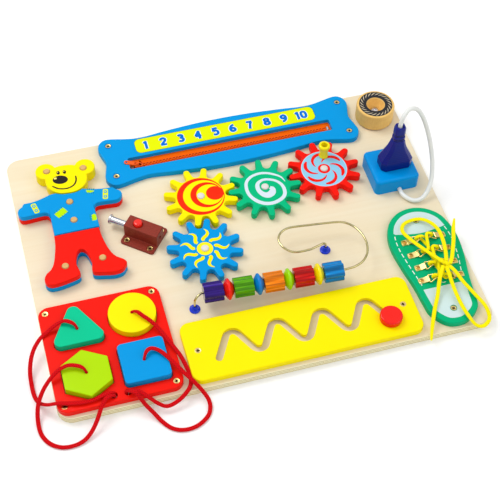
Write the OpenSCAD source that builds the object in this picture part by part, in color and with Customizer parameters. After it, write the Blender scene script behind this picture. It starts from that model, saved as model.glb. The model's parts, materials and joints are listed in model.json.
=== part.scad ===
// Wooden activity board: a plywood sheet that carries ten play stations.
// Origin: centre of the sheet's underside. X runs along the sheet, Y across it, Z up.

/* [Board] */
// Length of the plywood sheet
board_l = 600; // [596:2:640]
// Width of the plywood sheet
board_w = 450; // [450:2:480]
// Thickness of the plywood sheet
board_t = 12; // [10:1:18]
// Corner radius of the plywood sheet
board_corner_r = 20; // [8:1:30]
// Thickness of every painted panel
panel_t = 9; // [8:0.5:11]

/* [Screws] */
// Head diameter of the panel screws
screw_head_d = 8.6; // [7.6:0.2:9.6]
// Depth of the countersunk head
screw_head_h = 2.6; // [2:0.2:3]
// Shank diameter of the panel screws
screw_shank_d = 3.6; // [3:0.2:4.2]
// Length of the shank that bites into the sheet
screw_bite = 7; // [5:0.5:8]
// Radial clearance round a screw
screw_gap = 0.1; // [0.05:0.05:0.2]

/* [Sorter] */
// Side of the square sorter panel
sorter_side = 166; // [164:1:170]
// Corner radius of the sorter panel
sorter_corner_r = 15; // [10:1:20]
// Pitch between the shape blocks
sorter_pitch = 76; // [74:0.5:77]
// Distance of the screws from the panel's edge
sorter_screw_inset = 10; // [9:0.5:11]
// Height of a shape block
block_t = 18; // [14:1:24]
// Diameter of the round block
circle_block_d = 64.5; // [60:0.5:66]
// Side of the square block
square_block_side = 61.7; // [58:0.5:64]
// Corner radius of the square block
square_block_r = 6; // [3:0.5:9]
// Width of the hexagonal block across its flats
hexagon_block_flat = 62.2; // [58:0.5:63]
// Side of the triangle through the corner centres
triangle_block_side = 48; // [44:0.5:50]
// Corner radius of the triangular block
triangle_block_r = 9; // [7:0.5:10]
// Gap between a block and its cut-out
block_gap = 0.8; // [0.5:0.1:1.2]
// Diameter of the cord hole in a block
block_hole_d = 4.6; // [4.2:0.1:6]
// Depth of the cord hole in a block
block_hole_depth = 8; // [5:1:12]
// Diameter of the two cord holes in the panel
eyelet_d = 9; // [8.8:0.1:10]
// Distance between the two cord holes
eyelet_pitch = 18.4; // [16:0.2:21]
// Distance of the cord holes from the panel's lower edge
eyelet_inset = 10; // [9:0.5:11]
// Diameter of the sorter cords
cord_d = 3.6; // [3:0.1:4]

/* [Maze] */
// Length of the maze panel
maze_l = 321; // [318:1:326]
// Width of the maze panel
maze_w = 93; // [92:1:98]
// Corner radius of the maze panel
maze_corner_r = 14; // [10:1:20]
// Distance of the maze screws from the panel's ends
maze_screw_inset = 16.7; // [15:0.5:18]
// Width of the zigzag slot
slot_w = 10; // [9:0.2:11]
// Distance along the panel from a crest to the next dip
slot_half_pitch = 31.3; // [30:0.2:32]
// Rise of the slot's centre line
slot_rise = 36; // [34:0.5:38]
// Radius of the slot's centre line at each turn
slot_turn_r = 9.7; // [8:0.1:11]
// Width of the hidden channel for the knob's foot
foot_channel_w = 19; // [17:0.5:20]
// Depth of the hidden channel
foot_channel_h = 3.6; // [3:0.2:4]
// Diameter of the maze knob
maze_knob_d = 31; // [28:0.5:34]
// Thickness of the maze knob's disc
maze_knob_t = 9.5; // [8:0.5:12]
// Clearance of the knob's stem and foot in the panel
knob_gap = 0.35; // [0.3:0.05:0.45]

/* [Zipper] */
// Length of the zipper panel between its end lobes
zip_panel_l = 391; // [388:1:396]
// Width of the zipper panel at its end lobes
zip_panel_w = 92; // [90:1:92]
// How far each end narrows between its two lobes
zip_waist = 6; // [4:0.5:9]
// How far the long edges dip beside the lobes
zip_dip = 8; // [6:0.5:10]
// Distance between the screws along the panel
zip_screw_l = 360.5; // [358:0.5:363]
// Distance between the screws across the panel
zip_screw_w = 61; // [59:0.5:63]
// Length of the zipper window
zip_window_l = 314; // [310:1:318]
// Width of the zipper window
zip_window_w = 22; // [20:0.5:24]
// Width of the zipper tape
tape_w = 34; // [32:0.5:36]
// Thickness of the zipper tape
tape_t = 0.8; // [0.6:0.1:1]
// Room in the window beside the closed chain
chain_spare = 21; // [20:1:34]
// Room in the window beyond the chain's stop
stop_room = 7; // [6:0.5:9]
// Width of the chain
chain_w = 5.4; // [5:0.1:6]
// Height of the chain
chain_h = 2.6; // [2.2:0.1:3]
// Pitch of the chain's teeth
chain_pitch = 2.5; // [2.4:0.1:3]
// Length of the slider
slider_l = 13; // [12:0.5:15]
// Width of the slider
slider_w = 9; // [8.6:0.1:10]
// Clearance of the slider on the chain
slider_gap = 0.4; // [0.3:0.05:0.5]
// Length of the pull tab
pull_l = 18; // [16:0.5:20]
// Width of the pull tab
pull_w = 7; // [6:0.5:8]

/* [Gears] */
// Centre distance of the meshing gears
gear_centres = 95; // [94:0.5:97]
// Radius at the tips of the teeth
gear_tip_r = 54; // [53:0.5:55]
// Radius at the bottom of the gaps
gear_root_r = 36.5; // [36:0.25:38]
// Rounding of a tooth's tip
tooth_tip_r = 4.5; // [4:0.25:5]
// Rounding of the gap between two teeth
tooth_gap_r = 6; // [5.5:0.25:6.5]
// Thickness of a gear
gear_t = 11; // [10:0.5:12]
// Height of the washer under a gear
gear_lift = 1.5; // [1.2:0.1:2.5]
// Diameter of a gear's pin
gear_pin_d = 8; // [7:0.5:9]
// Diameter of the cap on a gear's pin
gear_cap_d = 11; // [10:0.5:13]
// Radial running clearance of the turning pieces
run_gap = 0.08; // [0.05:0.01:0.1]
// End clearance of the turning pieces
end_gap = 0.3; // [0.25:0.05:0.5]
// Distance of the cranking knob from its gear's centre
gear_knob_reach = 25.5; // [24:0.5:26.5]
// Height of the cranking knob
gear_knob_h = 24; // [20:1:28]
// Diameter of the cranking knob at its top
gear_knob_d = 17; // [15:0.5:19]

/* [Wheel] */
// Diameter of the beech wheel
wheel_d = 58; // [54:1:62]
// Height of the beech wheel
wheel_h = 28; // [24:1:32]
// Diameter of the recess at the top of the wheel
wheel_recess_d = 28; // [24:1:30]
// Diameter of the recess's floor
wheel_floor_d = 17; // [16:0.5:19]
// Depth of the recess
wheel_recess_depth = 15; // [12:1:16]

/* [Plug and socket] */
// Length of the socket block
socket_l = 67; // [64:1:70]
// Width of the socket block
socket_w = 65; // [60:1:68]
// Height of the socket block
socket_h = 26; // [22:1:30]
// Corner radius of the socket block
socket_corner_r = 7; // [4:0.5:10]
// Height of the plug above the socket block
plug_h = 80; // [74:1:86]
// Length of the plug's base
plug_l = 48; // [44:1:52]
// Width of the plug's base
plug_w = 28; // [24:1:32]
// Width of the plug's neck
plug_neck_w = 15; // [14:0.5:17]
// Diameter of the plug's pins
plug_pin_d = 4.8; // [4:0.1:5.6]
// Distance between the plug's pins
plug_pin_pitch = 19; // [17:0.5:21]
// Length of the plug's pins
plug_pin_l = 17; // [14:1:19]
// Diameter of the plug's cord
plug_cord_d = 6.5; // [6:0.1:7]

/* [Bead wire] */
// Diameter of the bent wire
wire_d = 3.2; // [2.8:0.1:3.6]
// Height of the wire's front run above the sheet
wire_h = 27; // [26:0.5:30]
// Height of the wire's last run above the sheet
wire_end_h = 20.5; // [19:0.5:22]
// Length of a tube bead
tube_bead_l = 27; // [25:0.2:27.4]
// Outer radius of a tube bead's flutes
tube_bead_r = 14; // [12:0.5:15]
// Number of flutes round a tube bead
tube_bead_flutes = 6; // [6:1:8]
// Width of a disc bead
disc_bead_l = 14; // [13:0.2:14.4]
// Diameter of a disc bead
disc_bead_d = 30; // [26:0.5:31]
// Radial clearance of a bead on the wire
bead_gap = 1.2; // [0.8:0.1:1.6]
// Gap between two beads
bead_spacing = 0.4; // [0.3:0.05:0.5]
// Diameter of the plastic ferrules at the wire's feet
ferrule_d = 15; // [13:0.5:17]
// Height of the ferrules
ferrule_h = 8; // [6:0.5:10]

/* [Shoe] */
// Length of the shoe panel
shoe_l = 204; // [200:1:207]
// Width of the shoe panel at the toes
shoe_toe_w = 99; // [96:1:101]
// Width of the shoe panel at the heel
shoe_heel_w = 77; // [74:1:80]
// Length of a lace ring's strap
strap_l = 17; // [16:0.5:18]
// Width of a lace ring's strap
strap_w = 9; // [8:0.5:9.4]
// Thickness of the strap metal
strap_t = 0.8; // [0.6:0.1:0.9]
// Wire diameter of a lace ring
ring_wire_d = 1.8; // [1.6:0.1:2]
// Length of a lace ring's straight side
ring_bar = 13; // [12:0.5:14]
// Reach of a lace ring from its straight side
ring_reach = 12; // [11:0.5:13]
// Angle at which the rings stand up
ring_tilt = 22; // [20:1:26]
// Diameter of the shoelace
lace_d = 3.6; // [3:0.1:3.8]

/* [Bear] */
// Thickness of the bear's head
head_t = 18; // [16:1:20]
// Thickness of one garment
cloth_t = 9; // [8:0.5:10]
// Span from hand to hand
arm_span = 151; // [146:1:154]
// Width of the shirt's body
shirt_body_w = 64; // [60:1:68]
// Height of the shirt
shirt_h = 75; // [72:0.5:75]
// Width of the trousers over the feet
trouser_w = 115; // [111:1:119]
// Width of the trousers at the waist
waist_w = 63; // [60:1:66]
// Height of the trousers
trouser_h = 82; // [80:0.5:82.5]
// Diameter of the dowel pegs
peg_d = 10; // [8:0.5:11]
// Length of a peg that stands above the bear
peg_proud = 2; // [1:0.5:4]
// Radial clearance of the bear's pieces on the pegs
peg_gap = 0.4; // [0.3:0.05:0.6]
// Depth that the pegs are set into the sheet
peg_depth = 8; // [6:0.5:8]

/* [Latch] */
// Length of the latch
latch_l = 52; // [50:0.5:54]
// Width of the latch's base plate
latch_base_w = 49; // [47:0.5:51]
// Thickness of the latch's base plate
latch_base_t = 4; // [3:0.5:5]
// Width of the latch's case
latch_case_w = 21.6; // [20:0.2:23]
// Height of the latch above the sheet
latch_h = 25; // [24:0.5:27]
// Wall of the latch's case
latch_wall = 3; // [2.4:0.2:3.4]
// Diameter of the bolt
bolt_d = 10; // [9:0.2:10.6]
// Length of the bolt outside the case
bolt_out = 25; // [22:0.5:28]
// Travel of the bolt into the case
bolt_travel = 12; // [10:0.5:13]
// Diameter of the red release button
button_d = 13; // [11:0.5:14]
// Height of the button above the case
button_h = 5; // [4:0.5:6]
// Travel of the button
button_travel = 3; // [2:0.5:3.5]

/* [Hidden] */
$fn = 64;

// Levels
board_top = board_t;
panel_top = board_t + panel_t;
screw_rim = 0.3;
cut = 0.01;         // how far a cutting shape runs past a face it opens
corner_steps = 6;   // straight steps in a rounded corner of a polygon
pilot_floor = 0.6;  // wood left under the deepest hole
gear_teeth = 12;    // the tooth shape and the centre distance belong to this number

// Places of the stations on the sheet
sorter_at = [-216.3, -137.5];
maze_at = [38.5, -173];
zip_at = [33, 178.5];
zip_window_at = [33, 168.5];
chain_y = 166;
yellow_gear_at = [-37.3, 78];
green_gear_from_yellow = -4.05;
red_gear_from_green = 7.01;
blue_gear_from_yellow = -100.8;
yellow_tooth_angle = 10.95;
gear_knob_angle = 74.6;
wheel_at = [262.5, 173];
socket_at = [246.5, 57];
plug_at = [250, 56];
shoe_at = [249, -119];
latch_at = [-131, 36.3];
latch_turn = -39.5;
head_at = [-219, 156];
shirt_at = [-221.5, 95.2];
trousers_at = [-222.8, 15.4];

// ---------- general shapes ----------

function unit(v) = v / norm(v);
function polar(r, a) = [r * cos(a), r * sin(a)];
function turned(p, a) = [p[0] * cos(a) - p[1] * sin(a), p[0] * sin(a) + p[1] * cos(a)];

// One step of a smooth curve through four points
function spline_point(a, b, c, d, t) =
    0.5 * (2 * b + (c - a) * t + (2 * a - 5 * b + 4 * c - d) * t * t
    + (3 * b - a - 3 * c + d) * t * t * t);

// A smooth closed outline through the points of p
function smooth_loop(p, steps) =
    let (n = len(p))
    [for (i = [0 : n - 1], k = [0 : steps - 1])
        spline_point(p[(i + n - 1) % n], p[i], p[(i + 1) % n], p[(i + 2) % n], k / steps)];

// A smooth open path through the points of p
function smooth_path(p, steps) =
    let (n = len(p))
    concat(
        [for (i = [0 : n - 2], k = [0 : steps - 1])
            spline_point(p[max(i - 1, 0)], p[i], p[i + 1], p[min(i + 2, n - 1)], k / steps)],
        [p[n - 1]]);

function path_directions(p) =
    let (last = len(p) - 1)
    [for (i = [0 : last]) unit(p[min(i + 1, last)] - p[max(i - 1, 0)])];

// Side directions that turn as little as possible along a path
function path_sides(dirs, i = 0, side = [0.31, 0.52, 0.8]) =
    i == len(dirs) ? [] :
    let (s = unit(side - (side * dirs[i]) * dirs[i]))
    concat([s], path_sides(dirs, i + 1, s));

// A round bar that follows a path
module swept_bar(path, d, sides) {
    dirs = path_directions(path);
    across = path_sides(dirs);
    rings = len(path);
    points = [for (i = [0 : rings - 1], k = [0 : sides - 1])
        path[i] + d / 2 * (cos(360 * k / sides) * across[i]
            + sin(360 * k / sides) * cross(dirs[i], across[i]))];
    wall = [for (i = [0 : rings - 2], k = [0 : sides - 1])
        let (a = i * sides + k, b = i * sides + (k + 1) % sides)
        each [[a, a + sides, b + sides], [a, b + sides, b]]];
    first = [for (k = [0 : sides - 1]) k];
    end = [for (k = [sides - 1 : -1 : 0]) (rings - 1) * sides + k];
    polyhedron(points, concat([first], wall, [end]));
}

// A flat polygon's outline with every corner turned on a radius
function rounded_corners(p, r, steps) =
    let (n = len(p))
    [for (k = [0 : n - 1])
        let (way_in = unit(p[k] - p[(k + n - 1) % n]), way_out = unit(p[(k + 1) % n] - p[k]),
            turn = acos(way_in * way_out), heading = atan2(way_in[1], way_in[0]),
            centre = p[k] - way_in * r * tan(turn / 2) + polar(r, heading + 90))
        for (i = [0 : steps]) centre + polar(r, heading - 90 + turn * i / steps)];

// A round bar bent into a closed flat loop
module closed_bar(loop, d, sides) {
    n = len(loop);
    points = [for (i = [0 : n - 1])
        let (dir = unit(loop[(i + 1) % n] - loop[(i + n - 1) % n]))
        for (k = [0 : sides - 1])
            [loop[i][0] + d / 2 * cos(360 * k / sides) * dir[1],
             loop[i][1] - d / 2 * cos(360 * k / sides) * dir[0],
             d / 2 * sin(360 * k / sides)]];
    polyhedron(points, [for (i = [0 : n - 1], k = [0 : sides - 1])
        let (a = i * sides + k, b = i * sides + (k + 1) % sides,
            c = ((i + 1) % n) * sides + k, d = ((i + 1) % n) * sides + (k + 1) % sides)
        each [[a, b, d], [a, d, c]]]);
}

// A solid lofted through stacked outlines with the same number of points
module loft(outlines, heights) {
    sides = len(outlines[0]);
    levels = len(outlines);
    points = [for (i = [0 : levels - 1], p = outlines[i]) [p[0], p[1], heights[i]]];
    wall = [for (i = [0 : levels - 2], k = [0 : sides - 1])
        let (a = i * sides + k, b = i * sides + (k + 1) % sides)
        each [[a, a + sides, b + sides], [a, b + sides, b]]];
    first = [for (k = [0 : sides - 1]) k];
    end = [for (k = [sides - 1 : -1 : 0]) (levels - 1) * sides + k];
    polyhedron(points, concat([first], wall, [end]));
}

module rounded_square(l, w, r) {
    square([l - 2 * r, w], center = true);
    square([l, w - 2 * r], center = true);
    for (x = [-1, 1], y = [-1, 1])
        translate([x * (l / 2 - r), y * (w / 2 - r)]) circle(r);
}

module rounded_plate(l, w, r, t) {
    linear_extrude(t) rounded_square(l, w, r);
}

module at_xy(p, z = 0) {
    translate([p[0], p[1], z]) children();
}

// ---------- screws ----------

zip_screws = [for (x = [-1, 1], y = [-1, 1])
    zip_at + [x * zip_screw_l / 2 + 0.7, y * zip_screw_w / 2 + 1.5]];
sorter_screws = [for (x = [-1, 1], y = [-1, 1])
    sorter_at + [x, y] * (sorter_side / 2 - sorter_screw_inset)];
maze_screws = [for (x = [-1, 1])
    maze_at + [x * (maze_l / 2 - maze_screw_inset), 0]];
shoe_screws = [shoe_at + [1, shoe_l / 2 - 25], shoe_at + [-2.5, -shoe_l / 2 + 24]];
panel_screws = concat(zip_screws, sorter_screws, maze_screws, shoe_screws);
latch_screw_x = 18.2;
latch_screw_y = latch_base_w / 2 - 7;
latch_screws = [for (x = [-1, 1], y = [-1, 1])
    latch_at + turned([x * latch_screw_x, y * latch_screw_y], latch_turn)];

module screw_shape(reach, gap, above) {
    rotate_extrude()
        polygon([
            [0, above], [screw_head_d / 2 + gap, above],
            [screw_head_d / 2 + gap, -screw_rim - gap],
            [screw_shank_d / 2 + gap, -screw_head_h - gap],
            [screw_shank_d / 2 + gap, -reach - gap], [0, -reach - gap]]);
}

module screws(places, z, reach) {
    for (p = places) at_xy(p, z) screw_shape(reach, 0, 0);
}

module screw_holes(places, z, reach) {
    for (p = places) at_xy(p, z) screw_shape(reach, screw_gap, cut);
}

module brass_screws() {
    color("goldenrod") {
        screws(panel_screws, panel_top, panel_t + screw_bite);
        screws(latch_screws, board_top + latch_base_t, latch_base_t + screw_bite);
        for (side = [-1, 1], row = [0 : 3])
            at_xy(strap_screw_at(side, row), strap_screw_z) strap_screw();
    }
}

// ---------- the sheet ----------

module base_board() {
    color("wheat") difference() {
        rounded_plate(board_l, board_w, board_corner_r, board_t);
        for (p = concat(panel_screws, latch_screws))
            at_xy(p, board_top - screw_bite - screw_gap)
                cylinder(h = board_t, d = screw_shank_d + 2 * screw_gap);
        for (p = [yellow_gear_at, green_gear_at, red_gear_at, blue_gear_at, wheel_at])
            at_xy(p, board_top - pin_root_h - screw_gap)
                cylinder(h = board_t, d = pin_root_d + 2 * screw_gap);
        for (p = peg_places)
            at_xy(p, board_top - peg_depth - screw_gap)
                cylinder(h = board_t, d = peg_d + 2 * screw_gap);
        for (p = [wire_start, wire_end])
            at_xy(p, board_top - wire_root_h - screw_gap)
                cylinder(h = board_t, d = wire_hole_d);
    }
}

// ---------- shape sorter ----------

triangle_at = sorter_at + [-sorter_pitch / 2 + 1.8, sorter_pitch / 2 - 4.5];
circle_at = sorter_at + [sorter_pitch / 2 + 1.3, sorter_pitch / 2 + 2.2];
hexagon_at = sorter_at + [-sorter_pitch / 2 + 0.8, -sorter_pitch / 2 + 2];
square_at = sorter_at + [sorter_pitch / 2 + 1, -sorter_pitch / 2 + 2.2];
left_eyelet = sorter_at + [-eyelet_pitch / 2, eyelet_inset - sorter_side / 2];
right_eyelet = sorter_at + [eyelet_pitch / 2, eyelet_inset - sorter_side / 2];

module triangle_outline(grow) {
    r = triangle_block_r + grow;
    corner_r = (triangle_block_side / sqrt(3)) + 2 * r;
    polygon(rounded_corners([for (k = [0 : 2]) polar(corner_r, 90 + 120 * k)], r, 4 * corner_steps));
}

module circle_outline(grow) {
    circle(d = circle_block_d + 2 * grow);
}

module hexagon_outline(grow) {
    rotate(90) circle(r = (hexagon_block_flat / 2 + grow) / cos(30), $fn = 6);
}

module square_outline(grow) {
    side = square_block_side + 2 * grow;
    rounded_square(side, side, square_block_r + grow);
}

module sorter_panel() {
    color("red") difference() {
        at_xy(sorter_at, board_top)
            rounded_plate(sorter_side, sorter_side, sorter_corner_r, panel_t);
        translate([0, 0, board_top - cut]) linear_extrude(panel_t + 2 * cut) {
            at_xy(triangle_at) triangle_outline(block_gap);
            at_xy(circle_at) circle_outline(block_gap);
            at_xy(hexagon_at) hexagon_outline(block_gap);
            at_xy(square_at) square_outline(block_gap);
            at_xy(left_eyelet) circle(d = eyelet_d);
            at_xy(right_eyelet) circle(d = eyelet_d);
        }
        screw_holes(sorter_screws, panel_top, panel_t + screw_bite);
    }
}

module shape_block(place) {
    at_xy(place, board_top) difference() {
        linear_extrude(block_t) children();
        translate([0, 0, block_t - block_hole_depth])
            cylinder(h = block_hole_depth + cut, d = block_hole_d);
    }
}

module triangle_block() {
    color("mediumseagreen") shape_block(triangle_at) triangle_outline(0);
}

module circle_block() {
    color("yellow") shape_block(circle_at) circle_outline(0);
}

module hexagon_block() {
    color("yellowgreen") shape_block(hexagon_at) hexagon_outline(0);
}

module square_block() {
    color("dodgerblue") shape_block(square_at) square_outline(0);
}

// The cords' routes: each leaves its block's hole and ends on the sheet in a panel hole
cord_steps = 2;
cord_sides = 8;
block_top = board_top + block_t;
hole_floor = block_top - block_hole_depth;
cord_on_panel = panel_top + cord_d / 2 + 0.3;

function block_cord(place, end, route) = concat(
    [[place[0], place[1], hole_floor + 0.2],
     [place[0], place[1], hole_floor + 4],
     [place[0], place[1], block_top + 1]],
    route,
    [[end[0], end[1], cord_on_panel + 1],
     [end[0], end[1], panel_top - 3],
     [end[0], end[1], board_top]]);

triangle_route = [
    [-256, -99, 36], [-266, -92, 36], [-277, -91, 31], [-290, -95, 25], [-304, -104, 22],
    [-316, -119, 17], [-323, -138, 10], [-325, -158, 4], [-324, -176, 3], [-319, -190, 8],
    [-310, -200, 17], [-298, -206, 25], [-284, -209, 24], [-268, -212, 24], [-252, -212, 24],
    [-238, -209, 25]];
circle_route = [
    [-171, -102, 36], [-165, -110, 36], [-156, -120, 33.2], [-148, -131, 28], [-142, -145, 26],
    [-136, -160, 25], [-130, -176, 24], [-126, -192, 20], [-124, -206, 17], [-127, -219, 16],
    [-137, -229, 14], [-150, -235, 10], [-163, -237, 9], [-174, -232, 14], [-184, -224.5, 21.6],
    [-194, -216, 26]];
hexagon_route = [
    [-257, -169, 36], [-266, -163, 36], [-277, -161, 36], [-289, -164, 33], [-301, -171, 28],
    [-313, -182, 21], [-322, -197, 14], [-326, -214, 5], [-325, -232, 2.3], [-317, -247, 2],
    [-304, -256, 2], [-289, -258, 2], [-275, -255, 3], [-263, -247, 7], [-253, -236, 14],
    [-245, -225, 22], [-236, -215, 26]];
square_route = [
    [-173, -167, 36], [-166, -163, 36], [-157, -167, 34.5], [-149, -177, 33.5], [-141, -190, 31],
    [-133, -204, 29], [-124, -216, 24], [-114, -229, 14], [-108, -242, 6], [-111, -256, 2.5],
    [-121, -266, 2.1], [-135, -272, 2], [-150, -272, 2], [-163, -266, 2], [-173, -254, 3],
    [-181, -242, 8], [-190, -231, 17], [-199, -220.5, 33]];

module sorter_cord(place, end, route) {
    color("crimson")
        swept_bar(smooth_path(block_cord(place, end, route), cord_steps), cord_d, cord_sides);
}

// Two cords share each panel hole, side by side
cord_side = cord_d / 2 + 0.4;

module triangle_cord() {
    sorter_cord(triangle_at, left_eyelet + [0, cord_side], triangle_route);
}

module circle_cord() {
    sorter_cord(circle_at, right_eyelet + [cord_side, 0], circle_route);
}

module hexagon_cord() {
    sorter_cord(hexagon_at, left_eyelet - [0, cord_side], hexagon_route);
}

module square_cord() {
    sorter_cord(square_at, right_eyelet - [cord_side, 0], square_route);
}

// ---------- zigzag maze ----------

slot_turns = [-3 : 3];      // one turn of the slot per crest or dip, crests at odd numbers
turn_steps = 2 * corner_steps;
turn_y = slot_rise / 2 - slot_turn_r;

// From the centre of a turn at a crest to the next one at a dip
turn_span = [slot_half_pitch, 2 * turn_y];
slot_leg_angle = atan2(turn_span[1], turn_span[0]) + asin(2 * slot_turn_r / norm(turn_span));
slot_end_run = (slot_rise - slot_turn_r * (1 - cos(slot_leg_angle))) / sin(slot_leg_angle);
slot_end = [3 * slot_half_pitch + slot_turn_r * sin(slot_leg_angle)
    + slot_end_run * cos(slot_leg_angle), -slot_rise / 2];
knob_at = maze_at + slot_end;

// The slot's centre line with the direction of its upper side at each point. The side turns
// by half a turn round each end.
slot_line = concat(
    [for (i = [-turn_steps : 0])
        [[-slot_end[0], slot_end[1]], 90 + slot_leg_angle - 90 * i / turn_steps]],
    [for (k = slot_turns, i = [0 : turn_steps])
        let (crest = abs(k) % 2, share = 1 - 2 * i / turn_steps,
            a = crest == 1 ? 90 + share * slot_leg_angle : 90 - share * slot_leg_angle)
        [[k * slot_half_pitch, crest == 1 ? turn_y : -turn_y]
            + polar(slot_turn_r, crest == 1 ? a : a + 180), a]],
    [for (i = [0 : turn_steps]) [slot_end, 90 - slot_leg_angle - 90 * i / turn_steps]]);

module slot_outline(w) {
    last = len(slot_line) - 1;
    under = [for (i = [0 : last])
        let (a = i < turn_steps ? 2 * slot_line[turn_steps][1] - slot_line[i][1]
            : i > last - turn_steps ? 2 * slot_line[last - turn_steps][1] - slot_line[i][1]
            : slot_line[i][1])
        slot_line[i][0] - polar(w / 2, a)];
    over = [for (i = [last : -1 : 0]) slot_line[i][0] + polar(w / 2, slot_line[i][1])];
    polygon(concat(under, [for (i = [1 : len(over) - 2]) over[i]]));
}

module maze_panel() {
    color("yellow") difference() {
        at_xy(maze_at, board_top) rounded_plate(maze_l, maze_w, maze_corner_r, panel_t);
        at_xy(maze_at, board_top - cut) linear_extrude(panel_t + 2 * cut) slot_outline(slot_w);
        at_xy(maze_at, board_top - cut)
            linear_extrude(foot_channel_h + cut) slot_outline(foot_channel_w);
        screw_holes(maze_screws, panel_top, panel_t + screw_bite);
    }
}

module maze_knob() {
    stem_r = slot_w / 2 - knob_gap;
    foot_r = foot_channel_w / 2 - knob_gap;
    foot_top = board_top + foot_channel_h - knob_gap;
    disc_low = panel_top + knob_gap;
    disc_r = maze_knob_d / 2;
    bevel = 1.5;
    color("red") at_xy(knob_at) rotate_extrude()
        polygon([
            [0, board_top + end_gap], [foot_r, board_top + end_gap], [foot_r, foot_top],
            [stem_r, foot_top], [stem_r, disc_low], [disc_r, disc_low],
            [disc_r, disc_low + maze_knob_t - bevel],
            [disc_r - bevel, disc_low + maze_knob_t], [0, disc_low + maze_knob_t]]);
}

// ---------- zipper ----------

tape_gap = 0.3;
tape_low = board_top + 1.6;
tape_top = tape_low + tape_t;
chain_low = tape_top;
chain_top = chain_low + chain_h;
tape_l = zip_window_l + 20;
chain_l = zip_window_l - chain_spare;
chain_end_x = zip_window_at[0] + zip_window_l / 2 - stop_room;
chain_start_x = chain_end_x - chain_l;
slider_x = chain_start_x;
zip_half_l = zip_panel_l / 2;
zip_half_w = zip_panel_w / 2;
lobe_in = 16.5;

// Right-hand half of the panel's outline, from the middle of the lower edge upwards
zip_half_outline = [
    [30, -zip_half_w + 0.5], [90, -zip_half_w + 4.5], [128, -zip_half_w + zip_dip + 0.5],
    [150, -zip_half_w + zip_dip - 2], [zip_half_l - lobe_in, -zip_half_w],
    [zip_half_l - 4.5, -zip_half_w + 5.5], [zip_half_l, -zip_half_w + 17],
    [zip_half_l - 2.5, -zip_half_w + 30], [zip_half_l - zip_waist, 0],
    [zip_half_l - 2.5, zip_half_w - 30], [zip_half_l, zip_half_w - 17],
    [zip_half_l - 4.5, zip_half_w - 5.5], [zip_half_l - lobe_in, zip_half_w],
    [150, zip_half_w - zip_dip + 2], [128, zip_half_w - zip_dip - 0.5],
    [90, zip_half_w - 4.5], [30, zip_half_w - 0.5]];
zip_outline = concat(zip_half_outline,
    [for (i = [len(zip_half_outline) - 1 : -1 : 0])
        [-zip_half_outline[i][0], zip_half_outline[i][1]]]);

module zip_panel() {
    color("deepskyblue") difference() {
        at_xy(zip_at, board_top) linear_extrude(panel_t) polygon(smooth_loop(zip_outline, 4));
        at_xy(zip_window_at, board_top - cut)
            rounded_plate(zip_window_l, zip_window_w, 3, panel_t + 2 * cut);
        at_xy(zip_window_at, board_top - cut)
            rounded_plate(tape_l + 2 * tape_gap, tape_w + 2 * tape_gap, 1,
                tape_top - board_top + cut);
        screw_holes(zip_screws, panel_top, panel_t + screw_bite);
    }
}

// Comb of teeth along one half of the chain
module chain_comb(side) {
    tooth_w = chain_pitch * 0.62;
    count = floor(chain_l / chain_pitch / 2);
    for (i = [0 : count - 1])
        translate([chain_start_x + (2 * i + (side + 1) / 2 + 0.5) * chain_pitch - tooth_w / 2,
            side > 0 ? 0 : -chain_w / 2])
            square([tooth_w, chain_w / 2]);
    translate([chain_start_x, side > 0 ? chain_w / 2 - chain_rail : -chain_w / 2])
        square([chain_l, chain_rail]);
}

chain_rail = 1.2;
chain_web = 1.4;
stop_l = 3;

module zip_tape() {
    color("orangered") {
        difference() {
            at_xy(zip_window_at, tape_low) rounded_plate(tape_l, tape_w, 1, tape_t);
            translate([chain_start_x - slider_l, chain_y - tape_split / 2, tape_low - cut])
                cube([slider_l, tape_split, tape_t + 2 * cut]);
        }
        translate([0, chain_y, chain_low]) linear_extrude(chain_h) {
            chain_comb(1);
            chain_comb(-1);
        }
        translate([chain_start_x, chain_y - chain_w / 2, chain_low])
            cube([chain_l, chain_w, chain_web]);
        translate([chain_end_x, chain_y - slider_w / 2 + 1, chain_low])
            cube([stop_l, slider_w - 2, chain_h]);
    }
}

tape_split = 4;
slider_plate_t = 1;
slider_low = board_top + end_gap;
slider_top = chain_top + slider_gap + slider_plate_t;
crown_l = 7;
crown_w = 2.6;
crown_h = 3.4;
crown_wall = 1;

// The slider: two plates, two side flanges over the chain and a wedge at the nose
module zip_slider() {
    channel_w = chain_w + 2 * slider_gap;
    wedge_l = slider_l / 2 - 1;
    color("darkorange") translate([slider_x, chain_y, 0]) {
        translate([0, 0, slider_low])
            rounded_plate(slider_l, slider_w, 3, tape_low - slider_gap - slider_low);
        difference() {
            translate([0, 0, tape_top + slider_gap])
                rounded_plate(slider_l, slider_w, 3, slider_top - tape_top - slider_gap);
            translate([-slider_l, -channel_w / 2, tape_top])
                cube([2 * slider_l, channel_w, chain_top + slider_gap - tape_top]);
        }
        translate([-slider_l / 2 + 0.6, -tape_split / 2 + slider_gap, slider_low])
            cube([wedge_l, tape_split - 2 * slider_gap, slider_top - slider_low]);
        translate([-crown_l / 2, crown_w / 2, slider_top]) rotate([90, 0, 0])
            linear_extrude(crown_w) difference() {
                square([crown_l, crown_h]);
                translate([crown_wall, -cut])
                    square([crown_l - 2 * crown_wall, crown_h - crown_wall + cut]);
            }
    }
}

pull_turn = -16;     // how far the pull is swung sideways on the slider
pull_rise = 9;       // slope of the pull where it lies on the panel
pull_t = 1.2;
pull_bar_d = 1.4;
pull_pivot = [slider_x, chain_y, slider_top + pull_bar_d / 2 + 0.4];

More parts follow.
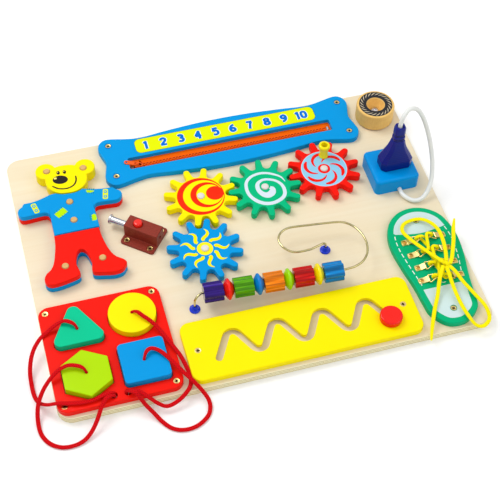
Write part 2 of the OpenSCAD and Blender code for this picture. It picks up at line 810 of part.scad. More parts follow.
// The pull tab: a cross bar through the slider's crown, two arms, and a tab with an eye
module zip_pull() {
    arm_l = 6;
    arm_gap = crown_w + 2.2;
    eye_r = 3;
    color("darkorange") translate(pull_pivot) rotate([0, 0, pull_turn])
        rotate([0, pull_rise, 0]) {
            rotate([90, 0, 0]) cylinder(h = arm_gap + 1, d = pull_bar_d, center = true);
            for (y = [-1, 1])
                translate([-arm_l, y * (arm_gap / 2 + 0.5) - 0.5, -pull_bar_d / 2])
                    cube([arm_l + pull_bar_d / 2, 1, pull_bar_d]);
            translate([0, 0, -pull_bar_d / 2]) linear_extrude(pull_t) difference() {
                union() {
                    translate([-pull_l, -pull_w / 2]) square([pull_l - arm_l, pull_w]);
                    translate([-pull_l, 0]) circle(d = pull_w);
                }
                translate([-pull_l, 0]) circle(d = eye_r);
                translate([-arm_l, -arm_gap / 2]) square([arm_l, arm_gap]);
            }
        }
}

// ---------- gears ----------

green_gear_at = yellow_gear_at + polar(gear_centres, green_gear_from_yellow);
red_gear_at = green_gear_at + polar(gear_centres, red_gear_from_green);
blue_gear_at = yellow_gear_at + polar(gear_centres, blue_gear_from_yellow);

// Tooth angle of a gear that meshes with a neighbour lying in the direction a
function meshed(tooth_angle, a) = 2 * a + 180 + 180 / gear_teeth - tooth_angle;

green_tooth_angle = meshed(yellow_tooth_angle, green_gear_from_yellow);
red_tooth_angle = meshed(green_tooth_angle, red_gear_from_green);
blue_tooth_angle = meshed(yellow_tooth_angle, blue_gear_from_yellow);

gear_low = board_top + gear_lift + end_gap;
gear_top = gear_low + gear_t;
pin_root_d = 6;
pin_root_h = board_t - pilot_floor - 2;

// Outline of a gear: round tooth tips and round gaps joined by their common tangents
module gear_outline() {
    half = 180 / gear_teeth;
    tip = [gear_tip_r - tooth_tip_r, 0];
    gap_centre = polar(gear_root_r + tooth_gap_r, half);
    span = gap_centre - tip;
    tangent = atan2(span[1], span[0]) - acos((tooth_tip_r + tooth_gap_r) / norm(span));
    tip_point = tip + polar(tooth_tip_r, tangent);
    gap_point = gap_centre + polar(tooth_gap_r, tangent + 180);
    difference() {
        union() {
            circle(gear_root_r + tooth_gap_r / 2);
            for (k = [0 : gear_teeth - 1]) rotate(2 * half * k) {
                polygon([[0, 0], [gap_centre[0], -gap_centre[1]], [gap_point[0], -gap_point[1]],
                    [tip_point[0], -tip_point[1]], tip_point, gap_point, gap_centre]);
                translate(tip) circle(tooth_tip_r);
            }
        }
        for (k = [0 : gear_teeth - 1]) rotate(2 * half * k)
            translate(gap_centre) circle(tooth_gap_r);
    }
}

module gear(place, tooth_angle) {
    at_xy(place, gear_low) difference() {
        rotate(tooth_angle) linear_extrude(gear_t) gear_outline();
        translate([0, 0, -cut]) cylinder(h = gear_t + 2 * cut, d = gear_pin_d + 2 * run_gap);
    }
}

module yellow_gear() {
    color("yellow") gear(yellow_gear_at, yellow_tooth_angle);
}

module green_gear() {
    color("mediumseagreen") gear(green_gear_at, green_tooth_angle);
}

module blue_gear() {
    color("deepskyblue") gear(blue_gear_at, blue_tooth_angle);
}

knob_at_gear = red_gear_at + polar(gear_knob_reach, gear_knob_angle);
knob_screw_d = 4;
knob_screw_bite = 8;

module red_gear() {
    color("red") difference() {
        gear(red_gear_at, red_tooth_angle);
        at_xy(knob_at_gear, gear_top - knob_screw_bite - screw_gap)
            cylinder(h = gear_t, d = knob_screw_d + 2 * screw_gap);
    }
}

// A pin set into the sheet: root, washer, shank and a domed cap
module axle_pin(washer_d, shank_d, shank_l, cap_d, cap_h) {
    washer_h = gear_lift;
    dome = 1;
    rotate_extrude() polygon([
        [0, -pin_root_h], [pin_root_d / 2, -pin_root_h], [pin_root_d / 2, 0],
        [washer_d / 2, 0], [washer_d / 2, washer_h], [shank_d / 2, washer_h],
        [shank_d / 2, washer_h + shank_l + 2 * end_gap],
        [cap_d / 2, washer_h + shank_l + 2 * end_gap],
        [cap_d / 2, washer_h + shank_l + 2 * end_gap + cap_h - dome],
        [cap_d / 2 - dome, washer_h + shank_l + 2 * end_gap + cap_h],
        [0, washer_h + shank_l + 2 * end_gap + cap_h]]);
}

module axle_pins() {
    color("whitesmoke") {
        for (p = [yellow_gear_at, green_gear_at, red_gear_at, blue_gear_at])
            at_xy(p, board_top) axle_pin(20, gear_pin_d, gear_t, gear_cap_d, 2.4);
        at_xy(wheel_at, board_top)
            axle_pin(24, gear_pin_d, wheel_h - wheel_recess_depth, wheel_floor_d - 4, 3);
    }
}

knob_low = gear_top + end_gap;
knob_web = 5;
knob_hole_d = 9.6;
knob_waist_d = 12.6;

// A turned spool that spins on its screw
module gear_knob() {
    r_top = gear_knob_d / 2;
    color("gold") at_xy(knob_at_gear, knob_low) rotate_extrude() polygon([
        [knob_screw_d / 2 + run_gap, 0], [7, 0], [7, 2], [knob_waist_d / 2, 5],
        [knob_waist_d / 2, gear_knob_h - 9], [r_top, gear_knob_h - 5],
        [r_top, gear_knob_h - 1.5], [r_top - 1.5, gear_knob_h],
        [knob_hole_d / 2, gear_knob_h], [knob_hole_d / 2, knob_web],
        [knob_screw_d / 2 + run_gap, knob_web]]);
}

module knob_screw() {
    head_r = 3.8;
    head_h = 2.4;
    color("silver") at_xy(knob_at_gear, gear_top) rotate_extrude() polygon([
        [0, -knob_screw_bite], [knob_screw_d / 2, -knob_screw_bite],
        [knob_screw_d / 2, knob_web + 2 * end_gap], [head_r, knob_web + 2 * end_gap],
        [head_r, knob_web + 2 * end_gap + head_h - 0.6],
        [head_r - 1, knob_web + 2 * end_gap + head_h],
        [0, knob_web + 2 * end_gap + head_h]]);
}

// ---------- wheel ----------

module wheel() {
    r = wheel_d / 2;
    bevel = 1.5;
    step_h = 5;
    step_r = (wheel_recess_d + wheel_floor_d) / 4;
    bore_r = gear_pin_d / 2 + run_gap;
    floor_z = wheel_h - wheel_recess_depth;
    color("burlywood") at_xy(wheel_at, board_top + gear_lift + end_gap) rotate_extrude() polygon([
        [bore_r, 0], [r - bevel, 0], [r, bevel], [r, wheel_h - bevel], [r - bevel, wheel_h],
        [wheel_recess_d / 2, wheel_h], [wheel_recess_d / 2 - 1, wheel_h - 2],
        [step_r, floor_z + step_h], [wheel_floor_d / 2, floor_z + 1],
        [wheel_floor_d / 2, floor_z], [bore_r, floor_z]]);
}

// ---------- plug and socket ----------

socket_top = board_top + socket_h;
plug_low = socket_top;
plug_top = plug_low + plug_h;
plug_mouth_d = 9;
plug_mouth_depth = 6;
plug_chamfer = 6;
pin_gap = 0.3;

module socket_block() {
    color("dodgerblue") difference() {
        at_xy(socket_at, board_top)
            rounded_plate(socket_l, socket_w, socket_corner_r, socket_h);
        for (x = [-1, 1])
            at_xy(plug_at + [x * plug_pin_pitch / 2, 0], socket_top - plug_pin_l - 1)
                cylinder(h = plug_pin_l + 1 + cut, d = plug_pin_d + 2 * pin_gap);
        translate([cord_foot[0], cord_foot[1], cord_foot[2]]) rotate([90, 0, 0])
            cylinder(h = socket_w, d = plug_cord_d + 2 * pin_gap);
    }
}

function chamfered(l, w, c) = [
    [l / 2, -w / 2 + c], [l / 2, w / 2 - c], [l / 2 - c, w / 2], [-l / 2 + c, w / 2],
    [-l / 2, w / 2 - c], [-l / 2, -w / 2 + c], [-l / 2 + c, -w / 2], [l / 2 - c, -w / 2]];

// Sections of the plug from its base up: share of the height, length and width
plug_sections = [
    [0, plug_l - 2, plug_w - 2], [0.03, plug_l, plug_w], [0.19, plug_l, plug_w],
    [0.22, plug_l - 3, plug_w - 1.5], [0.3, plug_l - 9, plug_w - 4],
    [0.42, plug_neck_w + 14, plug_neck_w + 6], [0.55, plug_neck_w + 7, plug_neck_w + 3],
    [0.66, plug_neck_w + 3, plug_neck_w + 1], [0.67, plug_neck_w + 1, plug_neck_w - 1],
    [0.7, plug_neck_w + 1, plug_neck_w - 1], [0.71, plug_neck_w + 2.4, plug_neck_w + 0.4],
    [0.77, plug_neck_w + 1.6, plug_neck_w], [0.78, plug_neck_w - 0.4, plug_neck_w - 2],
    [0.81, plug_neck_w - 0.4, plug_neck_w - 2], [0.82, plug_neck_w + 1, plug_neck_w],
    [0.97, plug_neck_w, plug_neck_w - 0.5], [1, plug_neck_w - 1.6, plug_neck_w - 2]];

module plug() {
    color("midnightblue") at_xy(plug_at) {
        difference() {
            translate([0, 0, plug_low])
                loft([for (s = plug_sections) chamfered(s[1], s[2], plug_chamfer * s[2] / plug_w)],
                    [for (s = plug_sections) s[0] * plug_h]);
            translate([0, 0, plug_top - plug_mouth_depth])
                cylinder(h = plug_mouth_depth + cut, d = plug_mouth_d);
        }
        for (x = [-1, 1]) translate([x * plug_pin_pitch / 2, 0, plug_low - plug_pin_l])
            cylinder(h = plug_pin_l + 1, d = plug_pin_d);
    }
}

cord_foot = [250, socket_at[1] - socket_w / 2 + 8, board_top + 4.6];
plug_cord_route = [
    [plug_at[0], plug_at[1], plug_top - plug_mouth_depth + 0.2],
    [250, 56, 123], [254, 59, 133], [264, 65, 139], [277, 68, 133], [287, 66, 118],
    [294, 58, 98], [298, 46, 76], [298, 30, 54], [293, 14, 36], [284, 3, 24],
    [273, -3, 18], [262, -2, 16.6], [254, 6, 16.6], [250, 16, 16.6], cord_foot];

module plug_cord() {
    color("ghostwhite") swept_bar(smooth_path(plug_cord_route, 2), plug_cord_d, 12);
}

// ---------- bead wire ----------

wire_start = [-92, -103];
front_start = [-81, -97.5];
front_end = [121, -109.5];
front_turn = atan2(front_end[1] - front_start[1], front_end[0] - front_start[0]);
wire_end = [110.4, -52.5];
wire_root_h = 8;
wire_hole_d = wire_d + 2 * screw_gap;
wire_z = board_top + wire_h;
wire_end_z = board_top + wire_end_h;
wire_mid_z = (wire_z + wire_end_z) / 2;
foot_bend_r = 9;

// The bends that lift a wire end from its foot into the run that leaves in direction a
function foot_bend(foot, a, z) =
    [for (k = [0 : 4]) let (t = 90 * k / 4)
        [foot[0] + foot_bend_r * (1 - cos(t)) * cos(a),
         foot[1] + foot_bend_r * (1 - cos(t)) * sin(a),
         z - foot_bend_r + foot_bend_r * sin(t)]];

function reversed(p) = [for (i = [len(p) - 1 : -1 : 0]) p[i]];

first_foot = concat([[wire_start[0], wire_start[1], board_top - wire_root_h]],
    foot_bend(wire_start, 27, wire_z));
front_run = [for (k = [0 : 3])
    let (p = front_start + (front_end - front_start) * k / 3) [p[0], p[1], wire_z]];
back_turns = smooth_path([
    [133, -108.5, wire_z], [146, -103, wire_z - 0.4], [156.5, -92, wire_z - 0.8],
    [162, -78, wire_z - 1.2], [163, -63, wire_z - 1.6], [159, -47, wire_z - 2],
    [151, -35, wire_z - 2.3], [140, -27.5, wire_z - 2.6], [120, -24, wire_mid_z + 0.6],
    [88, -20, wire_mid_z], [68, -18, wire_mid_z - 0.3], [56, -21, wire_mid_z - 0.6],
    [48, -29, wire_mid_z - 0.9], [46, -39, wire_mid_z - 1.2], [50, -50, wire_mid_z - 1.5],
    [59, -58, wire_end_z + 0.8], [70, -60.5, wire_end_z + 0.4], [86, -60, wire_end_z + 0.1]], 2);
last_foot = concat(reversed(foot_bend(wire_end, 200, wire_end_z)),
    [[wire_end[0], wire_end[1], board_top - wire_root_h]]);
wire_path = concat(first_foot, front_run, back_turns, last_foot);

module bead_wire() {
    color("silver") swept_bar(wire_path, wire_d, 10);
}

module wire_ferrules() {
    hole_r = wire_d / 2 + 0.35;
    r = ferrule_d / 2;
    color("royalblue") for (p = [wire_start, wire_end])
        at_xy(p, board_top) rotate_extrude() polygon([
            [hole_r, 0], [r, 0], [r, 2], [r - 2, 3], [hole_r + 1.8, ferrule_h - 1],
            [hole_r + 0.8, ferrule_h], [hole_r, ferrule_h]]);
}

// Beads in a row: kind 1 is a fluted tube, kind 0 a disc
bead_kinds = [1, 0, 1, 0, 1, 0, 1, 0, 1];
bead_row_start = 2.5;
bead_seat = 0.3;    // play left where a bead's bore hangs on the wire
bead_z = wire_z - (bead_gap - bead_seat);

function bead_l(i) = bead_kinds[i] == 1 ? tube_bead_l : disc_bead_l;
function bead_offset(i) =
    i == 0 ? bead_row_start : bead_offset(i - 1) + bead_l(i - 1) + bead_spacing;

module place_bead(i) {
    translate([front_start[0], front_start[1], bead_z]) rotate(front_turn)
        translate([bead_offset(i), 0, 0]) rotate([0, 90, 0]) children();
}

module tube_bead(i) {
    flute_r = 4.6;
    core_r = tube_bead_r - flute_r;
    place_bead(i) linear_extrude(tube_bead_l) difference() {
        union() {
            circle(core_r + 1.5);
            for (k = [0 : tube_bead_flutes - 1])
                translate(polar(core_r, 360 * k / tube_bead_flutes)) circle(flute_r);
        }
        circle(wire_d / 2 + bead_gap);
    }
}

module disc_bead(i) {
    bore_r = wire_d / 2 + bead_gap;
    r = disc_bead_d / 2;
    rim = 3;
    hub_r = 6.5;
    mid = disc_bead_l / 2;
    place_bead(i) rotate_extrude() polygon([
        [bore_r, 0], [hub_r, 0], [r - 1.5, mid - rim / 2 - 0.8], [r, mid - rim / 2],
        [r, mid + rim / 2], [r - 1.5, mid + rim / 2 + 0.8], [hub_r, disc_bead_l],
        [bore_r, disc_bead_l]]);
}

// ---------- shoe ----------

shoe_half_l = shoe_l / 2;
toe_half_w = shoe_toe_w / 2;
heel_half_w = shoe_heel_w / 2;

// Sole outline, anticlockwise from the toe
shoe_outline = [
    [0, shoe_half_l], [-22, shoe_half_l - 5.5], [-39, shoe_half_l - 21],
    [-toe_half_w + 2, shoe_half_l - 42], [-toe_half_w, shoe_half_l - 66],
    [-toe_half_w + 3.5, shoe_half_l - 98], [-heel_half_w - 2.5, shoe_half_l - 130],
    [-heel_half_w, -shoe_half_l + 44], [-heel_half_w + 3.5, -shoe_half_l + 24],
    [-20, -shoe_half_l + 5], [-3, -shoe_half_l], [14, -shoe_half_l + 4],
    [heel_half_w - 7, -shoe_half_l + 19], [heel_half_w - 3, -shoe_half_l + 42],
    [heel_half_w + 1.5, shoe_half_l - 130], [toe_half_w - 3, shoe_half_l - 98],
    [toe_half_w, shoe_half_l - 66], [toe_half_w - 3, shoe_half_l - 42],
    [39, shoe_half_l - 21], [22, shoe_half_l - 5.5]];

module shoe_panel() {
    color("mediumseagreen") difference() {
        at_xy(shoe_at, board_top) linear_extrude(panel_t) polygon(smooth_loop(shoe_outline, 4));
        screw_holes(shoe_screws, panel_top, panel_t + screw_bite);
        for (side = [-1, 1], row = [0 : 3])
            at_xy(strap_screw_at(side, row), board_top)
                cylinder(h = panel_t + cut, d = strap_screw_d + 2 * screw_gap);
    }
}

// Places of the strap screws: outer ends of the straps, from the toe down
left_strap_x = [220, 221, 223, 220];
left_strap_y = [-76, -99.5, -122, -144];
right_strap_x = [277, 277, 277, 277];
right_strap_y = [-75, -98.5, -123, -146.5];

function strap_screw_at(side, row) =
    side < 0 ? [left_strap_x[row], left_strap_y[row]] : [right_strap_x[row], right_strap_y[row]];

strap_screw_d = 2.6;
strap_screw_z = panel_top + 2 * strap_t;
strap_hole_d = strap_screw_d + 0.6;
strap_end = 4.5;      // from the screw to the strap's outer end
strap_meets = 3.5;    // from the screw to where the two tongues part
ring_gap = 0.3;
fold_r = ring_wire_d / 2 + ring_gap;
ring_bar_x = strap_l - strap_end - fold_r - strap_t;
ring_bend_r = 1.6;
ring_nose = 3;     // half width of the ring at its far end

module strap_screw() {
    head_r = 2.9;
    head_h = 1.5;
    rotate_extrude() polygon([
        [0, head_h], [head_r - 1.2, head_h], [head_r, head_h / 2], [head_r, 0],
        [strap_screw_d / 2, 0], [strap_screw_d / 2, -panel_t - 2 * strap_t],
        [0, -panel_t - 2 * strap_t]]);
}

// A folded brass strap seen from its side: a tongue on the panel that turns round the ring's
// bar and comes back down on itself
module strap_profile() {
    fold = [ring_bar_x, fold_r + strap_t];
    difference() {
        polygon(concat(
            [[-strap_end, 0]],
            [for (i = [0 : 2 * corner_steps]) fold + polar(fold_r + strap_t, 90 * (i / corner_steps - 1))],
            [[strap_meets, 2 * strap_t], [-strap_end + 1, 2 * strap_t], [-strap_end + 1, strap_t],
             [-strap_end, strap_t]]));
        polygon(concat(
            [[strap_meets + 1, strap_t]],
            [for (i = [0 : 2 * corner_steps]) fold + polar(fold_r, 90 * (i / corner_steps - 1))]));
    }
}

module ring_strap() {
    difference() {
        translate([0, strap_w / 2, 0]) rotate([90, 0, 0]) linear_extrude(strap_w) strap_profile();
        translate([0, 0, -cut]) cylinder(h = 2 * strap_t + 2 * cut, d = strap_hole_d);
    }
}

module ring_straps() {
    color("goldenrod") for (side = [-1, 1], row = [0 : 3])
        at_xy(strap_screw_at(side, row), panel_top)
            rotate(side < 0 ? 0 : 180) ring_strap();
}

// A lace ring: a straight bar in the strap's loop and a rounded triangle beyond it
module lace_ring(side, row) {
    half = ring_bar / 2;
    color("gold") at_xy(strap_screw_at(side, row), panel_top + fold_r + strap_t)
        rotate(side < 0 ? 0 : 180) translate([ring_bar_x, 0, 0]) rotate([0, -ring_tilt, 0])
            closed_bar(rounded_corners(
                [[0, half], [0, -half], [ring_reach, -ring_nose], [ring_reach, ring_nose]],
                ring_bend_r, 4), ring_wire_d, 8);
}

// The tied lace. The crossed run turns round the far bar of each ring: "over" and "under"
// say on which side of the bar the lace leaves it.
lace_sides = 8;
lace_low = panel_top + lace_d / 2 + 0.8;
lace_high = panel_top + fold_r + strap_t + ring_reach * sin(ring_tilt)
    + ring_wire_d / 2 + lace_d / 2 + 0.2;
knot_r = 3.9;
knot_at = [257, -136, lace_high + lace_d / 2 + 5.3];

function ring_tip(side, row) =
    strap_screw_at(side, row) - [side * (ring_bar_x + ring_reach * cos(ring_tilt)), 0];

function ring_turn(side, row, leaves_over) =
    let (t = ring_tip(side, row),
        turn = [[3, lace_low], [-3.5, lace_low], [-6.2, (lace_low + lace_high) / 2],
            [-3.5, lace_high], [3, lace_high]],
        order = leaves_over ? [0, 1, 2, 3, 4] : [4, 3, 2, 1, 0])
    [for (i = order) [t[0] - side * turn[i][0], t[1], turn[i][1]]];

crossed_run = concat(
    [[253.8, -136.4, knot_at[2] - 3.4], [250, -139.5, 29], [246.5, -142.3, 24.6]],
    ring_turn(-1, 3, true), ring_turn(1, 2, false), ring_turn(-1, 1, true),
    ring_turn(1, 0, false), ring_turn(-1, 0, false), ring_turn(1, 1, true),
    ring_turn(-1, 2, false), ring_turn(1, 3, true),
    [[254, -143.2, 32.4], [256.1, -139.7, knot_at[2] - 3.1]]);
upper_loop = [
    [253.6, -131.8, 39], [245, -118, 38.5], [234, -99, 37], [225, -80, 35], [221, -62, 31],
    [228, -48, 27], [243, -42, 25], [256, -45, 27], [265, -57, 31], [269, -75, 36],
    [268, -95, 38], [264, -115, 39], [258.7, -132, 39.1]];
lower_loop = [
    [260.1, -140.5, 38.4], [265, -150, 37], [272, -167, 31], [282, -188, 26], [289, -207, 23],
    [289, -223, 17], [278, -231, 15], [267, -228.5, 18], [259.5, -215, 25.2], [257, -195, 26],
    [256, -172, 29], [255.7, -153, 35], [255.9, -140.4, 38.1]];
left_end = [
    [251.8, -137.4, 37.6], [246, -146, 37], [239, -158, 33], [231, -175, 27], [221, -192, 24],
    [212, -209, 22.5], [206, -222, 17], [201, -234, 14]];
right_end = [
    [262.4, -136.5, 37.6], [269, -127, 38], [277, -111, 37], [285, -94, 35], [293, -75, 31],
    [302, -57, 28]];

module shoelace() {
    color("yellow") {
        translate(knot_at) sphere(knot_r);
        swept_bar(smooth_path(crossed_run, 2), lace_d, lace_sides);
        for (route = [upper_loop, lower_loop, left_end, right_end])
            swept_bar(smooth_path(route, 2), lace_d, lace_sides);
    }
}

// ---------- latch ----------

bolt_z = board_top + latch_base_t + (latch_h - latch_base_t - latch_wall) / 2;
bolt_in = 26;
spring_d = bolt_d - 2;
button_x = -latch_l / 2 + 17.5;
button_gap = 0.35;

module latch_place() {
    at_xy(latch_at) rotate(latch_turn) children();
}

module latch_case() {
    inner_w = bolt_d + 2 * button_gap;
    cavity_l = latch_l - 2 * latch_wall;
    color("brown") latch_place() difference() {
        union() {
            translate([0, 0, board_top]) rounded_plate(latch_l, latch_base_w, 4, latch_base_t);
            translate([-latch_l / 2, -latch_case_w / 2, board_top])
                cube([latch_l, latch_case_w, latch_h]);
        }
        translate([0, 0, bolt_z]) rotate([0, 90, 0])
            cylinder(h = cavity_l, d = inner_w, center = true);
        translate([-latch_l / 2 - cut, 0, bolt_z]) rotate([0, 90, 0])
            cylinder(h = latch_wall + 2, d = inner_w);
        translate([latch_l / 2 - latch_wall - 1, 0, bolt_z]) rotate([0, 90, 0])
            cylinder(h = latch_wall + 2, d = tail_d + 2 * button_gap);
        translate([button_x, 0, bolt_z]) cylinder(h = latch_h, d = button_d + 2 * button_gap);
        for (x = [-1, 1], y = [-1, 1])
            translate([x * latch_screw_x, y * latch_screw_y, board_top + latch_base_t])
                screw_shape(latch_base_t + screw_bite, screw_gap, cut);
    }
}

tail_d = 4;
bolt_shoulder = -latch_l / 2 + latch_wall + bolt_in;

// The bolt: a round bar with a push disc outside and a thin tail inside the spring
module latch_bolt() {
    disc_d = 14;
    disc_t = 2.5;
    color("silver") latch_place() translate([0, 0, bolt_z]) rotate([0, 90, 0]) {
        difference() {
            translate([0, 0, -latch_l / 2 - bolt_out])
                cylinder(h = bolt_out + latch_l / 2 + bolt_shoulder, d = bolt_d);
            translate([-bolt_d / 2 - 1, -bolt_d, notch_from])
                cube([notch_depth + 1, 2 * bolt_d, notch_to - notch_from]);
        }
        translate([0, 0, -latch_l / 2 - bolt_out - disc_t]) cylinder(h = disc_t, d = disc_d);
        cylinder(h = latch_l / 2 - latch_wall, d = tail_d);
    }
}

// Flat on the bolt that clears the button over the whole travel of both
notch_depth = 2.4;
notch_from = button_x - button_d / 2 - bolt_travel - 0.5;
notch_to = button_x + button_d / 2 + 0.5;
button_low = bolt_z + bolt_d / 2 - notch_depth + button_travel + 0.3;

module latch_button() {
    dome = 1.6;
    r = button_d / 2;
    top = board_top + latch_h + button_h;
    color("red") latch_place() translate([button_x, 0, 0]) rotate_extrude() polygon([
        [0, button_low], [r, button_low], [r, top - dome], [r - dome, top], [0, top]]);
}

// A spring of plain rings round the bolt's tail
module latch_spring() {
    start = bolt_shoulder + 0.3;
    length = latch_l / 2 - latch_wall - start - 0.3;
    wire = 0.9;
    turns = 5;
    steps = 12;
    r = spring_d / 2 - wire / 2;
    color("silver") latch_place() translate([0, 0, bolt_z])
        swept_bar([for (k = [0 : turns * steps])
            let (a = 360 * k / steps)
            [start + wire / 2 + (length - wire) * k / (turns * steps), r * cos(a), r * sin(a)]],
            wire, 6);
}

// ---------- bear ----------

left_ear = [-26.6, 21.2];
right_ear = [30.1, 16.3];
ear_r = 14.8;
face_r = 26.6;
face_half = 3.8;
face_turn = -5;
bear_top = board_top + 2 * cloth_t;
head_pegs = [head_at + [-25.2, 20.4], head_at + [27.5, 14]];
shirt_pegs = [shirt_at + [-0.6, 16.5], shirt_at + [-0.8, -17.6]];
trouser_pegs = [trousers_at + [-25.9, -14.6], trousers_at + [26.4, -13.4]];
neck_gap = 1.8;
peg_places = concat(head_pegs, shirt_pegs, trouser_pegs);

module bear_pegs() {
    dome = 1.2;
    r = peg_d / 2;
    color("burlywood") for (p = peg_places) at_xy(p) rotate_extrude() polygon([
        [0, board_top - peg_depth], [r, board_top - peg_depth],
        [r, bear_top + peg_proud - dome], [r - dome, bear_top + peg_proud],
        [0, bear_top + peg_proud]]);
}

module peg_bores(places) {
    for (p = places) at_xy(p, board_top - cut)
        cylinder(h = 4 * cloth_t, d = peg_d + 2 * peg_gap);
}

module head_outline(grow) {
    at_xy(head_at) {
        rotate(face_turn) {
            for (x = [-1, 1]) translate([x * face_half, 0]) circle(face_r + grow);
            square([2 * face_half, 2 * (face_r + grow)], center = true);
        }
        translate(left_ear) circle(ear_r + grow);
        translate(right_ear) circle(ear_r + grow);
    }
}

module bear_head() {
    color("yellow") difference() {
        translate([0, 0, board_top]) linear_extrude(head_t) head_outline(0);
        peg_bores(head_pegs);
    }
}

half_span = arm_span / 2;
body_half = shirt_body_w / 2;
shirt_half_h = shirt_h / 2;

// Shirt outline from the left of the neck, anticlockwise
shirt_outline = [
    [-21.5, shirt_half_h], [-29, shirt_half_h - 1.5], [-41, shirt_half_h - 5.5],
    [-54, shirt_half_h - 8], [-64.5, shirt_half_h - 8], [-68, shirt_half_h - 13],
    [-half_span + 2.2, shirt_half_h - 16.7], [-half_span, shirt_half_h - 23.2],
    [-half_span + 2.2, shirt_half_h - 29.7], [-67.5, shirt_half_h - 32.5],
    [-54, shirt_half_h - 31.9], [-41, shirt_half_h - 31.2], [-body_half - 2.5, shirt_half_h - 33],
    [-body_half - 0.3, shirt_half_h - 39.5], [-body_half, 0], [-body_half - 0.4, -shirt_half_h + 2],
    [-body_half + 1.5, -shirt_half_h], [-body_half + 7, -shirt_half_h], [0, -shirt_half_h],
    [body_half - 7, -shirt_half_h], [body_half - 1.5, -shirt_half_h],
    [body_half, -shirt_half_h + 2], [body_half - 0.6, 0], [body_half - 0.2, shirt_half_h - 39.5],
    [body_half + 2, shirt_half_h - 34], [body_half + 7.5, shirt_half_h - 32.4],
    [52, shirt_half_h - 33], [64.5, shirt_half_h - 34], [71.5, shirt_half_h - 30.5],
    [half_span - 0.5, shirt_half_h - 23.5], [72.5, shirt_half_h - 17], [67, shirt_half_h - 13],
    [64, shirt_half_h - 8.7], [55.5, shirt_half_h - 8.6], [41.5, shirt_half_h - 6.6],
    [29.5, shirt_half_h - 3.4], [21.5, shirt_half_h - 1.1], [16.5, shirt_half_h]];

// Trousers outline from the left of the waist, anticlockwise
leg_half_h = trouser_h / 2;
foot_half = trouser_w / 2;
waist_half = waist_w / 2;
trouser_outline = [
    [-waist_half, leg_half_h - 2], [-waist_half - 1.7, leg_half_h - 17],
    [-waist_half - 5.2, leg_half_h - 33], [-waist_half - 9.2, leg_half_h - 47],
    [-waist_half - 14.7, leg_half_h - 56.5], [-53.2, leg_half_h - 62],
    [-foot_half + 0.2, leg_half_h - 69.6], [-foot_half + 1, leg_half_h - 77],
    [-50, -leg_half_h], [-37, -leg_half_h], [-22, -leg_half_h + 3], [-11.7, -leg_half_h + 5.8],
    [-8, -leg_half_h + 10], [-8.7, -leg_half_h + 17], [-10.4, -leg_half_h + 24],
    [-9.7, -leg_half_h + 33], [-7.2, -leg_half_h + 42], [-3.7, -leg_half_h + 48],
    [0, -leg_half_h + 50.2], [4.3, -leg_half_h + 48], [7.3, -leg_half_h + 42],
    [9.3, -leg_half_h + 33], [10.8, -leg_half_h + 24], [9.3, -leg_half_h + 17],
    [8.3, -leg_half_h + 11], [10.8, -leg_half_h + 6.2], [23, -leg_half_h + 3],
    [38, -leg_half_h], [49, -leg_half_h + 1.8], [54.3, -leg_half_h + 7],
    [foot_half, -leg_half_h + 12.8], [53.3, -leg_half_h + 19.3], [45.3, -leg_half_h + 25.6],
    [waist_half + 8.3, -leg_half_h + 35], [waist_half + 4.3, -leg_half_h + 49],
    [waist_half + 1.5, leg_half_h - 17], [waist_half + 0.3, leg_half_h - 2],
    [waist_half - 1.7, leg_half_h], [0, leg_half_h], [-waist_half + 2, leg_half_h]];

module garment(place, low, outline, pegs) {
    difference() {
        translate([0, 0, low]) linear_extrude(cloth_t) difference() {
            at_xy(place) polygon(smooth_loop(outline, 2));
            head_outline(neck_gap);
        }
        peg_bores(pegs);
    }
}

module shirt_under() {
    color("red") garment(shirt_at, board_top, shirt_outline, shirt_pegs);
}

module shirt_top() {
    color("deepskyblue") garment(shirt_at, board_top + cloth_t, shirt_outline, shirt_pegs);
}

module trousers_under() {
    color("deepskyblue") garment(trousers_at, board_top, trouser_outline, trouser_pegs);
}

module trousers_top() {
    color("red") garment(trousers_at, board_top + cloth_t, trouser_outline, trouser_pegs);
}

base_board();
brass_screws();
sorter_panel();
triangle_block();
circle_block();
hexagon_block();
square_block();
triangle_cord();
circle_cord();
hexagon_cord();
square_cord();
maze_panel();
maze_knob();
zip_panel();
zip_tape();
zip_slider();
zip_pull();
yellow_gear();
green_gear();
red_gear();
blue_gear();
axle_pins();
gear_knob();
knob_screw();
wheel();
socket_block();
plug();
plug_cord();
bead_wire();
wire_ferrules();
color("indigo") tube_bead(0);  // purple_bead
color("red") disc_bead(1);  // red_disc_bead
color("olivedrab") tube_bead(2);  // green_bead
color("dodgerblue") disc_bead(3);  // blue_disc_bead
color("darkorange") tube_bead(4);  // orange_bead
color("yellowgreen") disc_bead(5);  // lime_disc_bead
color("firebrick") tube_bead(6);  // red_bead
color("gold") disc_bead(7);  // yellow_disc_bead
color("steelblue") tube_bead(8);  // blue_bead
shoe_panel();
ring_straps();
lace_ring(-1, 0);  // left_ring_1
lace_ring(-1, 1);  // left_ring_2
lace_ring(-1, 2);  // left_ring_3
lace_ring(-1, 3);  // left_ring_4
lace_ring(1, 0);  // right_ring_1
lace_ring(1, 1);  // right_ring_2
lace_ring(1, 2);  // right_ring_3
lace_ring(1, 3);  // right_ring_4
shoelace();
latch_case();
latch_bolt();
latch_button();
latch_spring();
bear_pegs();
bear_head();
shirt_under();
shirt_top();
trousers_under();
trousers_top();
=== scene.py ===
"""Looks of a wooden busy board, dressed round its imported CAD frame.

Each station of the board is a class that builds and dresses its own pieces. Lengths in the classes
are in millimetres and become metres where a mesh is made.
"""
import json
import logging
import math
from dataclasses import dataclass
from enum import Enum
from typing import Callable, Iterable, Optional, Sequence, Union

import bmesh
import bpy
from bmesh.types import BMEdge, BMesh, BMFace, BMVert
from bpy.types import Material, Object
from mathutils import Matrix, Vector

